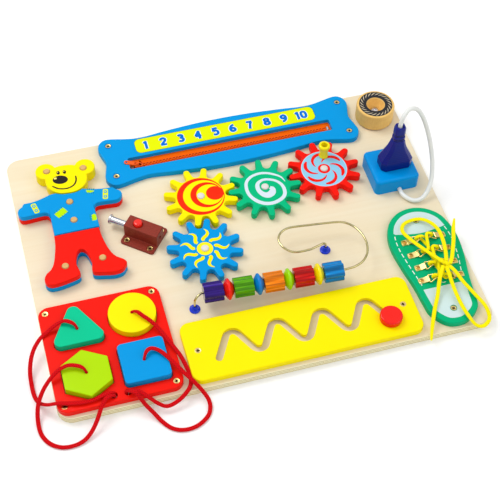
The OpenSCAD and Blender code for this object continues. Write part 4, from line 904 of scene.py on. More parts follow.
class Mesh:
    """A bmesh in the making that becomes one piece."""

    def __init__(self) -> None:
        """Starts empty."""
        self.bm = bmesh.new()

    @classmethod
    def of_node(cls, node: str) -> "Mesh":
        """Copies a CAD node's mesh, merged and with its flat faces joined up.

        Args:
            node: the node's name.

        Returns:
            The copy.
        """
        made = cls()
        made.bm.from_mesh(frame["nodes"][node].data)
        for layer in list(made.bm.loops.layers.uv):
            made.bm.loops.layers.uv.remove(layer)
        bmesh.ops.remove_doubles(made.bm, verts=made.bm.verts, dist=MERGE)
        bmesh.ops.dissolve_limit(made.bm, angle_limit=FLAT, use_dissolve_boundaries=False,
                                 verts=made.bm.verts, edges=made.bm.edges)
        return made

    def bevelled(self, edges: Sequence[BMEdge], width: float, segments: int) -> None:
        """Bevels edges.

        Args:
            edges: the edges.
            width: how wide, in millimetres.
            segments: in how many steps.
        """
        bmesh.ops.bevel(self.bm, geom=edges, offset=width * MM, offset_type="OFFSET",
                        segments=segments, profile=0.5, material=-1, affect="EDGES",
                        clamp_overlap=False)

    def soften(self, radius: float, segments: int = 3, angle: float = 35.0,
               where: Optional[Test] = None) -> "Mesh":
        """Rounds the sharp edges.

        Args:
            radius: the rounding's width in millimetres.
            segments: steps in the rounding.
            angle: edges sharper than this, in degrees, are rounded.
            where: takes an edge's middle in millimetres and says whether it is rounded.

        Returns:
            This mesh.
        """
        self.bevelled([e for e in self.bm.edges if len(e.link_faces) == 2
                       and e.calc_face_angle(0.0) > math.radians(angle)
                       and (where is None or where((e.verts[0].co + e.verts[1].co) / (2 * MM)))],
                      radius, segments)
        return self

    def _settle(self, before: set, matrix: Optional[Matrix] = None) -> "Mesh":
        """Merges what was added, turns its faces outwards and moves it.

        Args:
            before: the vertices that were there before it.
            matrix: its move, where it has one.

        Returns:
            This mesh.
        """
        fresh = [v for v in self.bm.verts if v not in before]
        bmesh.ops.remove_doubles(self.bm, verts=fresh, dist=MERGE)
        fresh = [v for v in self.bm.verts if v not in before]
        if matrix:
            bmesh.ops.transform(self.bm, matrix=matrix, verts=fresh)
        bmesh.ops.recalc_face_normals(self.bm, faces=list({f for v in fresh for f in v.link_faces}))
        return self

    def _thickened(self, faces: Sequence[BMFace], height: float, before: set) -> "Mesh":
        """Makes a plate of flat faces and settles it.

        Args:
            faces: the faces.
            height: how thick it gets.
            before: the vertices that were there before.

        Returns:
            This mesh.
        """
        top = bmesh.ops.extrude_face_region(self.bm, geom=faces, use_keep_orig=True)["geom"]
        bmesh.ops.translate(self.bm, vec=(0, 0, height * MM), verts=only(top, BMVert))
        return self._settle(before)

    def lathe(self, profile: Points, centre: Sequence[float], steps: int) -> "Mesh":
        """Spins a profile of (radius, height) pairs round an upright axis.

        Args:
            profile: the section, in millimetres.
            centre: where height 0 of the axis lies.
            steps: faces in a full turn.

        Returns:
            This mesh.
        """
        before = set(self.bm.verts)
        verts = [self.bm.verts.new(metres((r, 0, z))) for r, z in profile]
        edges = [self.bm.edges.new(pair) for pair in zip(verts, verts[1:])]
        bmesh.ops.spin(self.bm, geom=verts + edges, cent=(0, 0, 0), axis=(0, 0, 1),
                       angle=2 * math.pi, steps=steps, use_merge=True)
        return self._settle(before, Matrix.Translation(metres(centre)))

    def sheet(self, outline: Line, low: float, high: float, holes: Sequence[Line] = ()) -> "Mesh":
        """Adds a flat plate.

        Args:
            outline: its outline.
            low: the height of its underside.
            high: the height of its top.
            holes: the outlines of its holes.

        Returns:
            This mesh.
        """
        before = set(self.bm.verts)
        edges = []
        for line in (outline, *holes):
            verts = [self.bm.verts.new(metres((p[0], p[1], low))) for p in line]
            edges += self._ring(verts)
        filled = bmesh.ops.triangle_fill(self.bm, edges=edges, use_beauty=True,
                                         use_dissolve=False)["geom"]
        return self._thickened(only(filled, BMFace), high - low, before)

    def _ring(self, verts: Sequence[BMVert]) -> list[BMEdge]:
        """Joins vertices into a closed ring."""
        return [self.bm.edges.new((verts[i - 1], verts[i])) for i in range(len(verts))]

    def band(self, path: Line, half: float, low: float, high: float) -> "Mesh":
        """Adds a flat band along a path that may cross itself.

        Args:
            path: the band's middle line, in millimetres.
            half: half its width.
            low: the height of its underside.
            high: the height of its top.

        Returns:
            This mesh.
        """
        before = set(self.bm.verts)
        rows = [[metres((*(point + side * half), low)) for side in (across, -across)]
                for point, across in zip(path, (square_to(run) for run in directions_of(path)))]
        edge = self.bm.edges.new([self.bm.verts.new(spot) for spot in rows[0]])
        faces = []
        for old, new in zip(rows, rows[1:]):
            made = bmesh.ops.extrude_edge_only(self.bm, edges=[edge])["geom"]
            edge = only(made, BMEdge)[0]
            faces += only(made, BMFace)
            for vert in edge.verts:
                left = (vert.co - old[0]).length < (vert.co - old[1]).length
                vert.co = new[0] if left else new[1]
        return self._thickened(faces, high - low, before)

    def box(self, low: Sequence[float], high: Sequence[float], bevel: float) -> "Mesh":
        """Adds a box with bevelled edges.

        Args:
            low: its lowest corner.
            high: its highest corner.
            bevel: how wide the bevels are.

        Returns:
            This mesh.
        """
        before = set(self.bm.verts)
        made = bmesh.ops.create_cube(self.bm, size=1.0)["verts"]
        bmesh.ops.scale(self.bm, vec=metres([b - a for a, b in zip(low, high)]), verts=made)
        bmesh.ops.translate(self.bm, vec=metres([(a + b) / 2 for a, b in zip(low, high)]),
                            verts=made)
        self.bevelled(list({e for v in made for e in v.link_edges}), bevel, 1)
        return self._settle(before)

    def screw_head(self, rings: Points, cross: float, depth: float) -> "Mesh":
        """Adds a head with a cross recess, its middle at the origin.

        Args:
            rings: (radius, height) of the head's circles from its foot to its top.
            cross: half length of the recess.
            depth: how deep the recess is.

        Returns:
            This mesh.
        """
        before = set(self.bm.verts)
        loops = []
        for radius, height in rings:
            made = bmesh.ops.create_circle(self.bm, segments=24, radius=radius * MM,
                                           matrix=Matrix.Translation((0, 0, height * MM)))["verts"]
            loops.append([e for e in self.bm.edges if e.verts[0] in made and e.verts[1] in made])
        arm = cross * 0.3
        quarter = [(cross, -arm), (cross, arm), (arm, arm)]
        corners = [*quarter, *((-y, x) for x, y in quarter), *((-x, -y) for x, y in quarter),
                   *((y, -x) for x, y in quarter)]
        turn = Matrix.Rotation(math.radians(20), 3, "Z")
        loops.append(self._ring([self.bm.verts.new(turn @ metres((x, y, rings[-1][1])))
                                 for x, y in corners]))
        for first, second in zip(loops, loops[1:]):
            bmesh.ops.bridge_loops(self.bm, edges=first + second)
        low = bmesh.ops.extrude_edge_only(self.bm, edges=loops[-1])["geom"]
        floor = only(low, BMVert)
        bmesh.ops.translate(self.bm, vec=(0, 0, -depth * MM), verts=floor)
        bmesh.ops.scale(self.bm, vec=(0.7, 0.7, 1), verts=floor)
        for ring in (only(low, BMEdge), loops[0]):
            bmesh.ops.contextual_create(self.bm, geom=ring)
        return self._settle(before)

    def repeated(self, places: Iterable[Matrix]) -> "Mesh":
        """Replaces the mesh with copies of it.

        Args:
            places: the place of each.

        Returns:
            This mesh.
        """
        verts = list(self.bm.verts)
        original = verts + list(self.bm.edges) + list(self.bm.faces)
        for place in places:
            copy = bmesh.ops.duplicate(self.bm, geom=original)["geom"]
            bmesh.ops.transform(self.bm, matrix=place, verts=only(copy, BMVert))
        bmesh.ops.delete(self.bm, geom=verts, context="VERTS")
        return self

    def piece(self, name: str, body: str, finish: Finish, slot: str, replaces: Sequence[str] = (),
              angle: float = 40.0, weighted: bool = True) -> Object:
        """Closes the mesh into a piece.

        Args:
            name: the piece's name.
            body: the CAD body that it moves with.
            finish: its finish.
            slot: the record's material slot.
            replaces: the CAD nodes that it stands for.
            angle: edges sharper than this, in degrees, stay sharp in shading.
            weighted: whether large flat faces keep their own shading.

        Returns:
            The piece.
        """
        obj = closed(self.bm, name, angle)
        if weighted:
            obj.modifiers.new("even_shading", "WEIGHTED_NORMAL").keep_sharp = True
        return dress(obj, body, finish, slot, replaces)


MATERIALS: dict[str, Material] = {}


def material_of(finish: Finish) -> Material:
    """Builds a finish's material once for each name.

    Args:
        finish: the finish.

    Returns:
        The material.
    """
    if finish.name not in MATERIALS:
        MATERIALS[finish.name] = finish.material()
    return MATERIALS[finish.name]


@dataclass(frozen=True)
class Crossing:
    """Where a piece that hangs between two bodies starts and stops to bend, in millimetres."""

    other: str
    start: Point3
    end: Point3


def dress(obj: Object, body: str, finish: Finish, slot: str, replaces: Sequence[str] = (),
          crossing: Optional[Crossing] = None) -> Object:
    """Links a piece, gives it its finish and hangs it on its body; a piece with a crossing is left
    off every body, its place baked into its mesh.

    Args:
        obj: the piece.
        body: the CAD body that it moves with.
        finish: its finish.
        slot: the record's material slot; not used.
        replaces: the CAD nodes that it stands for.
        crossing: how it hangs towards a second body, where it does; only whether there is one is
            used.

    Returns:
        The piece.
    """
    bpy.context.scene.collection.objects.link(obj)
    obj.data.materials.clear()
    obj.data.materials.append(material_of(finish))
    if crossing:
        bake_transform(obj)
    else:
        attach(obj, body)
    if replaces:
        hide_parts(*replaces)
    log.info("%s on %s, %d faces", obj.name, body, len(getattr(obj.data, "polygons", ())))
    return obj


def coat(node: str, finish: Finish) -> None:
    """Gives a CAD node that stays as it is its finish.

    Args:
        node: the node's name.
        finish: the finish.
    """
    data = frame["nodes"][node].data
    data.materials.clear()
    data.materials.append(material_of(finish))
    log.info("%s keeps its solid", node)


def body_of(node: str) -> str:
    """The body that a CAD node rides on."""
    return frame["nodes"][node]["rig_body"]


def softened(node: str, finish: Finish, slot: str, radius: float, segments: int = 3,
             where: Optional[Test] = None, angle: float = 35.0) -> Object:
    """A CAD node's shape with rounded edges, which stands for the node.

    Args:
        node: the CAD node.
        finish: its finish.
        slot: the record's material slot.
        radius: the rounding's width in millimetres.
        segments: steps in the rounding.
        where: says which edges are rounded, by their middle in millimetres.
        angle: edges sharper than this, in degrees, are rounded.

    Returns:
        The piece.
    """
    shape = Mesh.of_node(node)
    if radius:
        shape.soften(radius, segments, angle, where)
    return shape.piece(f"finished_{node}", body_of(node), finish, slot, [node])


def printed(name: str, body: str, finish: Finish, slot: str, outlines: Iterable[Line],
            level: float, height: float = 0.12, holes: Sequence[Line] = ()) -> Object:
    """Flat paint on a face: thin plates that stand just out of it.

    Args:
        name: the piece's name.
        body: the CAD body that it moves with.
        finish: its finish.
        slot: the record's material slot.
        outlines: the plates' outlines.
        level: the height of the face.
        height: how far they rise from it.
        holes: the holes in each.

    Returns:
        The piece.
    """
    shape = Mesh()
    for outline in outlines:
        shape.sheet(outline, level - PRINT_FOOT, level + height, holes)
    return shape.piece(name, body, finish, slot, weighted=False)


# The strokes of each figure, in millimetres from its middle; a turned one is read upside down
STROKES: dict[str, Sequence[Points]] = {
    "0": [[(0.3, 6.2), (-2.7, 4.6), (-3.6, 0), (-2.7, -4.6), (0.3, -6.2)],
          [(-0.3, 6.2), (2.7, 4.6), (3.6, 0), (2.7, -4.6), (-0.3, -6.2)]],
    "1": [[(-2.6, 3.2), (-1.0, 4.7), (0.8, 6.6)], [(0.6, 7.6), (0.6, 0), (0.6, -8.2)]],
    "2": [[(-3.8, 2.8), (-2.6, 5.4), (0.4, 6.5), (3.2, 4.6), (2.8, 1.2), (0, -2.0), (-3.6, -6.0)],
          [(-4.6, -6.2), (0, -6.2), (4.4, -6.2)]],
    "3": [[(-3.6, 4.8), (-0.8, 6.4), (2.6, 5.2), (2.6, 2.0), (-1.0, 0.5)],
          [(-1.0, 0.5), (2.8, -0.6), (3.5, -3.8), (1.0, -6.3), (-3.8, -5.2)]],
    "4": [[(1.5, 8.0), (1.5, 0), (1.5, -8.2)], [(2.0, 7.4), (-1.2, 2.6), (-4.4, -2.4)],
          [(-4.8, -2.4), (0, -2.4), (4.6, -2.4)]],
    "5": [[(3.8, 6.2), (0.5, 6.2), (-3.0, 6.2)], [(-2.2, 8.0), (-2.5, 4.0), (-2.8, 0.0)],
          [(-3.0, 0.6), (0.4, 1.8), (3.4, -0.4), (3.2, -4.4), (0.2, -6.3), (-3.8, -5.2)]],
    "6": [[(3.0, 6.4), (-0.6, 5.0), (-3.2, 1.2), (-3.5, -3.0), (-1.8, -5.8), (0.6, -6.2)],
          [(-0.4, -6.2), (2.8, -5.0), (3.4, -2.2), (1.4, 0.2), (-1.6, -0.2), (-3.2, -2.4)]],
    "7": [[(-4.4, 6.2), (0, 6.2), (4.4, 6.2)], [(3.4, 6.0), (0.8, 0.6), (-1.2, -8.0)]],
    "8": [[(0.2, 0.4), (-2.6, 1.6), (-2.8, 4.8), (0.2, 6.4)],
          [(-0.2, 0.4), (2.6, 1.6), (2.8, 4.8), (-0.2, 6.4)],
          [(0.2, 0.4), (-3.2, -1.4), (-3.3, -4.8), (0.2, -6.4)],
          [(-0.2, 0.4), (3.2, -1.4), (3.3, -4.8), (-0.2, -6.4)]]}
STROKES["9"] = [[(-x, -y) for x, y in stroke] for stroke in STROKES["6"]]


def figures(name: str, words: Sequence[str], places: Points, finish: Finish, slot: str,
            height: float, half: float) -> Object:
    """Printed numbers on a panel's face, one at each place.

    Args:
        name: the piece's name.
        words: the numbers.
        places: the middle of each number, in millimetres.
        finish: its finish.
        slot: the record's material slot.
        height: how far they rise from the face.
        half: half the width of a stroke.

    Returns:
        The piece.
    """
    shape = Mesh()
    count = 0
    for word, place in zip(words, places):
        for k, sign in enumerate(word):
            middle = Vector(place) + Vector(((k - (len(word) - 1) / 2) * FIGURE_STEP, 0))
            for stroke in STROKES[sign]:
                path = smooth_path([middle + Vector(spot) for spot in stroke], 5)
                # Strokes that cross get different heights, so that no two tops share a plane
                top = PANEL_TOP + height + 0.012 * (count % 5)
                shape.band(path, half, PANEL_TOP - PRINT_FOOT, top)
                count += 1
    return shape.piece(name, "board", finish, slot, weighted=False)


def tube(name: str, points: Line, diameter: float, sides: int = 12, tip: float = 0.0,
         flat: float = 0.0, bore: float = 0.0) -> Object:
    """A tube along a path in millimetres, with U along it in metres and V round it.

    Args:
        name: the tube's name.
        points: the path.
        diameter: the tube's diameter, or its width where it is flat, in millimetres.
        sides: faces round it.
        tip: length of a drawn-out tip at its end, in millimetres.
        flat: its thickness where it is flat; its wide side then keeps as level as it can.
        bore: the width that a flat tube is squeezed to where it comes out of a hole at either end.

    Returns:
        A mesh object that isn't linked yet.
    """
    bm = bmesh.new()
    uv = bm.loops.layers.uv.new("UVMap")
    directions = directions_of(points)
    side = OFF_AXIS
    if flat:
        lying = next((d for d in directions if abs(d.z) < 0.8), directions[0])
        side = Vector((-lying.y, lying.x, 0.01))
    travelled = [0.0]
    for a, b in zip(points, points[1:]):
        travelled.append(travelled[-1] + (b - a).length * MM)
    rings = []
    for point, direction, gone in zip(points, directions, travelled):
        side = (side - side.dot(direction) * direction).normalized()
        if flat:
            level = Vector((-direction.y, direction.x, 0.0))
            side += level * (LEVELLING if level.dot(side) > 0 else -LEVELLING)
            side = (side - side.dot(direction) * direction).normalized()
        turn = Matrix((side, direction.cross(side), direction)).transposed().to_4x4()
        left = (travelled[-1] - gone) / MM
        share = 1.0 if not tip or left > tip else 0.5 + 0.5 * (left / tip) ** 0.7
        wide, thick = diameter, flat or diameter
        if bore:
            near = min(gone / MM, left if not tip else math.inf)
            spread = min(max((near - MOUTH) / MOUTH_BLEND, 0.0), 1.0)
            spread = spread * spread * (3 - 2 * spread)
            low = bore * BORE_FILL
            wide, thick = bore + (wide - bore) * spread, low + (thick - low) * spread
        size = Matrix.Diagonal((wide / 2 * MM * share, thick / 2 * MM * share, 1.0, 1.0))
        set_up = Matrix.Translation(metres(point)) @ turn @ size
        rings.append(bmesh.ops.create_circle(bm, segments=sides, radius=1.0,
                                             matrix=set_up)["verts"])
    for i, (first, second) in enumerate(zip(rings, rings[1:])):
        for k in range(sides):
            n = (k + 1) % sides
            face = bm.faces.new((first[k], first[n], second[n], second[k]))
            corners = ((i, k), (i, k + 1), (i + 1, k + 1), (i + 1, k))
            for loop, (row, column) in zip(face.loops, corners):
                loop[uv].uv = (travelled[row], column / sides)
    for ring in (rings[0], rings[-1]):
        bm.faces.new(ring)
    bmesh.ops.recalc_face_normals(bm, faces=bm.faces)
    return closed(bm, name, 60)


# Stage


@dataclass
class Studio:
    """Camera, pale floor and soft lights."""

    camera_place: Point3 = (-0.29319, -0.98580, 1.34715)
    right: Point3 = (0.962136, -0.271729, 0.021387)
    down: Point3 = (-0.204639, -0.771954, -0.601839)
    forward: Point3 = (0.180048, 0.574674, -0.798331)
    lens: float = 85.30
    sensor: float = 36.0
    floor_size: float = 40.0
    floor_tone: float = 0.97
    lamps: Sequence[tuple[str, Point3, float, float]] = (
        ("key", (-0.9, 0.9, 1.9), 1.1, 22.0), ("fill", (1.4, -0.9, 1.5), 1.6, 8.0),
        ("front", (-0.8, -1.8, 1.6), 1.6, 5.0))
    sky: float = 0.8
    horizon: float = 0.3

    def build(self) -> None:
        """Makes the camera, the floor, the lights and the world."""
        scene = bpy.context.scene
        camera = bpy.data.cameras.new("camera")
        camera.lens, camera.sensor_width, camera.sensor_fit = self.lens, self.sensor, "HORIZONTAL"
        axes = (Vector(self.right), -Vector(self.down), -Vector(self.forward))
        scene.camera = self._set_up(camera, self.camera_place, Matrix(axes).transposed())
        scene.view_settings.view_transform = "Standard"
        scene.view_settings.look = "None"
        self._floor(scene)
        for name, place, size, power in self.lamps:
            lamp = bpy.data.lights.new(name, "AREA")
            lamp.shape, lamp.size, lamp.energy = "SQUARE", size, power
            self._set_up(lamp, place, (-Vector(place)).to_track_quat("-Z", "Y").to_matrix())
        scene.world = self._sky()

    def _set_up(self, data: Union[bpy.types.Camera, bpy.types.Light], place: Point3,
                turn: Matrix) -> Object:
        """Stands a camera or a lamp in the scene.

        Args:
            data: its data.
            place: where it stands.
            turn: how it is turned.

        Returns:
            The object.
        """
        holder = bpy.data.objects.new(data.name, data)
        holder.matrix_world = Matrix.Translation(place) @ turn.to_4x4()
        bpy.context.scene.collection.objects.link(holder)
        return holder

    def _sky(self) -> bpy.types.World:
        """Makes the world: white above, greyer towards the horizon.

        Returns:
            The world.
        """
        g = Graph("studio", world=True)
        height = g.split(g.get(g.add("ShaderNodeTexCoord"), "Generated"))[2]
        ramp = g.add("ShaderNodeValToRGB",
                     {"stops": [(0.05, (self.horizon,) * 3), (0.55, (1, 1, 1))]}, {0: height})
        back = g.add("ShaderNodeBackground", None, {"Color": g.get(ramp), "Strength": self.sky})
        g.add("ShaderNodeOutputWorld", None, {0: g.get(back)})
        return g.owner

    def _floor(self, scene: bpy.types.Scene) -> None:
        """Makes the floor.

        Args:
            scene: the scene.
        """
        bm = bmesh.new()
        bmesh.ops.create_grid(bm, x_segments=1, y_segments=1, size=self.floor_size / 2)
        floor = closed(bm, "floor", 30)
        g = Graph("studio_floor")
        cloud = g.noise(g.place(), 0.002, 2)
        tone = self.floor_tone
        floor.data.materials.append(g.surface(
            Base_Color=g.mix(cloud, (tone,) * 3, (tone * 0.985,) * 3), Roughness=0.7))
        scene.collection.objects.link(floor)


# Cords


@dataclass
class Cord:
    """A free cord whose route repeats that of its solid."""

    name: str
    route: Route
    diameter: float
    finish: Finish
    slot: str
    replaces: Sequence[str] = ()
    stiffness: str = "limp"
    far_end: str = "object"
    steps: int = 5
    sides: int = 14
    tip: float = 0.0
    flat: float = 0.0
    bore: float = 0.0
    crossing: Optional[Crossing] = None

    def build(self, with_pieces: Sequence[Object] = ()) -> Object:
        """Args:
            with_pieces: separate pieces that go with it; not used.

        Returns:
            The cord's piece.
        """
        path = smooth_path(self.route, self.steps)
        shape = tube(self.name, path, self.diameter, self.sides, self.tip, self.flat, self.bore)
        obj = dress(shape, "board", self.finish, self.slot, self.replaces, self.crossing)
        return obj


# Sheet and fasteners


@dataclass
class Sheet:
    """The plywood sheet that carries everything."""

    edge: float = 0.9
    inside: Point = (275.0, 200.0)
    finish: Plywood = Plywood("birch_plywood")

    def build(self) -> None:
        """Dresses the sheet."""
        softened("base_board", self.finish, "birch_plywood", self.edge, 2,
                 outside((0, 0), self.inside))


@dataclass
class Fasteners:
    """Brass screws: countersunk ones with cross recesses, and round heads on the straps."""

    countersunk: Points = (
        (-146.55, 149.5), (-146.55, 210.5), (213.95, 149.5), (213.95, 210.5), (-289.3, -210.5),
        (-143.3, -210.5), (-289.3, -64.5), (-143.3, -64.5), (-105.3, -173), (182.3, -173),
        *SHOE_SCREWS)
    latch: Point = (-131, 36.3)
    latch_turn: float = -39.5
    latch_screw: Point = (18.2, 17.5)
    latch_level: float = 16.0
    strap_level: float = 22.6
    twist: float = 1.9
    flat_head: Points = ((1.8, -2.4), (4.3, -0.35), (4.25, -0.12), (4.0, 0), (3.2, -0.15),
                         (2.9, -0.3))
    round_head: Points = ((1.3, -0.6), (3.1, 0), (3.1, 0.45), (2.75, 0.95), (2.1, 1.3))
    recess: Points = ((0, -1.0), (1.9, -1.0), (1.9, -0.75), (0, -0.75))
    brass: Metal = Metal("brass_screws", linear(240, 212, 140), 0.24, 0.2)
    domed: Metal = Metal("domed_screws", linear(226, 178, 92), 0.2, 0.45)
    # The dark recess discs are painted shade: they stand for the shadow inside each cross recess.
    shadow: Metal = Metal("screw_recess_shade", linear(74, 54, 26), 0.6, 0.5)

    def build(self) -> None:
        """Makes the heads, and dark discs in their recesses that are painted shade."""
        spin = Matrix.Rotation(math.radians(self.latch_turn), 2)
        x, y = self.latch_screw
        corners = [Vector(self.latch) + spin @ Vector(p)
                   for p in ((-x, -y), (-x, y), (x, -y), (x, y))]
        heads = self._at([*((*p, PANEL_TOP) for p in self.countersunk),
                          *((*p, self.latch_level) for p in corners)])
        flat = Mesh().screw_head(self.flat_head, 2.3, 1.5).repeated(heads)
        flat.piece("countersunk_heads", "board", self.brass, "brass", ["brass_screws"])
        dome = Mesh().screw_head(self.round_head, 1.5, 0.9)
        dome.repeated(self._at([(*p, self.strap_level) for p in LACE_SCREWS]))
        dome.piece("round_heads", "board", self.domed, "brass")
        # Painted shade: a dark disc at the bottom of each recess.
        floor = Mesh().lathe(self.recess, (0, 0, 0), 12).repeated(heads)
        floor.piece("recess_shade_floors", "board", self.shadow, "brass", weighted=False)

    def _at(self, places: Iterable[Point3]) -> list[Matrix]:
        """A placing matrix for each screw, each turned a little differently."""
        return [Matrix.Translation(metres(p)) @ Matrix.Rotation(self.twist * i, 4, "Z")
                for i, p in enumerate(places)]


# Shape sorter


@dataclass(frozen=True)
class ShapeBlock:
    """One block of the sorter: its shape and place, its paint, and its cord's way to the panel."""

    shape: str
    place: Point
    hue: Hue
    slot: str
    end: Point
    loose: float
    route: Route

    def whole_route(self) -> list[Point3]:
        """The cord's route from the hole in the block to its hole in the panel."""
        return [*((*self.place, z) for z in (22.2, 26, 31)), *self.route,
                *((*self.end, z) for z in (24.1, 18, 12))]


@dataclass
class ShapeSorter:
    """Red panel with four shape blocks, each on a cord."""

    width: float = 5.8
    thickness: float = 3.0
    bore: float = 3.7
    held: float = -208.0
    hole: float = 5.0
    block_foot: float = 13.0
    cord: Braid = Braid("red_cord", linear(210, 2, 14), 3.4, 4, 0.02, 0.8, 0.3)
    blocks: Sequence[ShapeBlock] = (
        ShapeBlock("triangle", (-252.5, -104.0), Hue.TEAL, "teal_paint", (-225.5, -208.3), -112, (
            (-256, -99, 36), (-266, -92, 36), (-277, -91, 31), (-290, -95, 25), (-304, -104, 22),
            (-316, -119, 17), (-323, -138, 10), (-325, -158, 4), (-324, -176, 3), (-319, -190, 8),
            (-310, -200, 17), (-298, -206, 25), (-284, -209, 24), (-268, -212, 24),
            (-252, -212, 24), (-238, -209, 25))),
        ShapeBlock("circle", (-177.0, -97.3), Hue.YELLOW, "yellow_paint", (-204.9, -210.5), -132, (
            (-171, -102, 36), (-165, -110, 36), (-156, -120, 33.2), (-148, -131, 28),
            (-142, -145, 26), (-136, -160, 25), (-130, -176, 24), (-126, -192, 20),
            (-124, -206, 17), (-127, -219, 16), (-137, -229, 14), (-150, -235, 10), (-163, -237, 9),
            (-174, -232, 14), (-184, -224.5, 21.6), (-194, -216, 26))),
        ShapeBlock("hexagon", (-253.5, -173.5), Hue.LIME, "lime_paint", (-225.5, -212.7), -176, (
            (-257, -169, 36), (-266, -163, 36), (-277, -161, 36), (-289, -164, 33),
            (-301, -171, 28), (-313, -182, 21), (-322, -197, 14), (-326, -214, 5),
            (-325, -232, 2.3), (-317, -247, 2), (-304, -256, 2), (-289, -258, 2), (-275, -255, 3),
            (-263, -247, 7), (-253, -236, 14), (-245, -225, 22), (-236, -215, 26))),
        ShapeBlock("square", (-177.3, -173.3), Hue.BLUE, "blue_paint", (-209.3, -210.5), -184, (
            (-173, -167, 36), (-166, -163, 36), (-157, -167, 34.5), (-149, -177, 33.5),
            (-141, -190, 31), (-133, -204, 29), (-124, -216, 24), (-114, -229, 14), (-108, -242, 6),
            (-111, -256, 2.5), (-121, -266, 2.1), (-135, -272, 2), (-150, -272, 2), (-163, -266, 2),
            (-173, -254, 3), (-181, -242, 8), (-190, -231, 17), (-199, -220.5, 33))))

    def cords(self) -> None:
        """Makes the four cords."""
        for block in self.blocks:
            lifts = Crossing(f"{block.shape}_block", (0, self.held, 0), (0, block.loose, 0))
            Cord(f"{block.shape}_block_cord", block.whole_route(), self.width, self.cord,
                 "red_cord", [f"{block.shape}_cord"], flat=self.thickness, bore=self.bore,
                 crossing=lifts).build()

    def build(self) -> None:
        """Dresses the panel and the blocks."""
        softened("sorter_panel", Paint("red_panel", Hue.RED.value), "red_paint", 1.0, 3,
                 above(PANEL_RIM))
        for block in self.blocks:
            paint = Paint(f"{block.shape}_block_paint", block.hue.value, grain_turn=0.4)
            softened(f"{block.shape}_block", paint, block.slot, 1.1, 3,
                     clear_of([block.place], self.hole, self.block_foot))


# Maze


@dataclass
class Maze:
    """Yellow panel with a zigzag slot, and the red knob that runs in it."""

    edge: float = 1.8
    middle: Point = (38.5, -173.0)
    slot_room: Point = (150.0, 40.0)

    def build(self) -> None:
        """Dresses the panel and the knob."""
        softened("maze_panel", Paint("yellow_panel", Hue.YELLOW.value), "yellow_paint", self.edge,
                 4, outside(self.middle, self.slot_room, PANEL_RIM))
        softened("maze_knob", Paint("red_knob", Hue.RED.value, 0.3, 0.5), "red_paint", 1.0, 3,
                 above(PANEL_TOP))


# Zipper


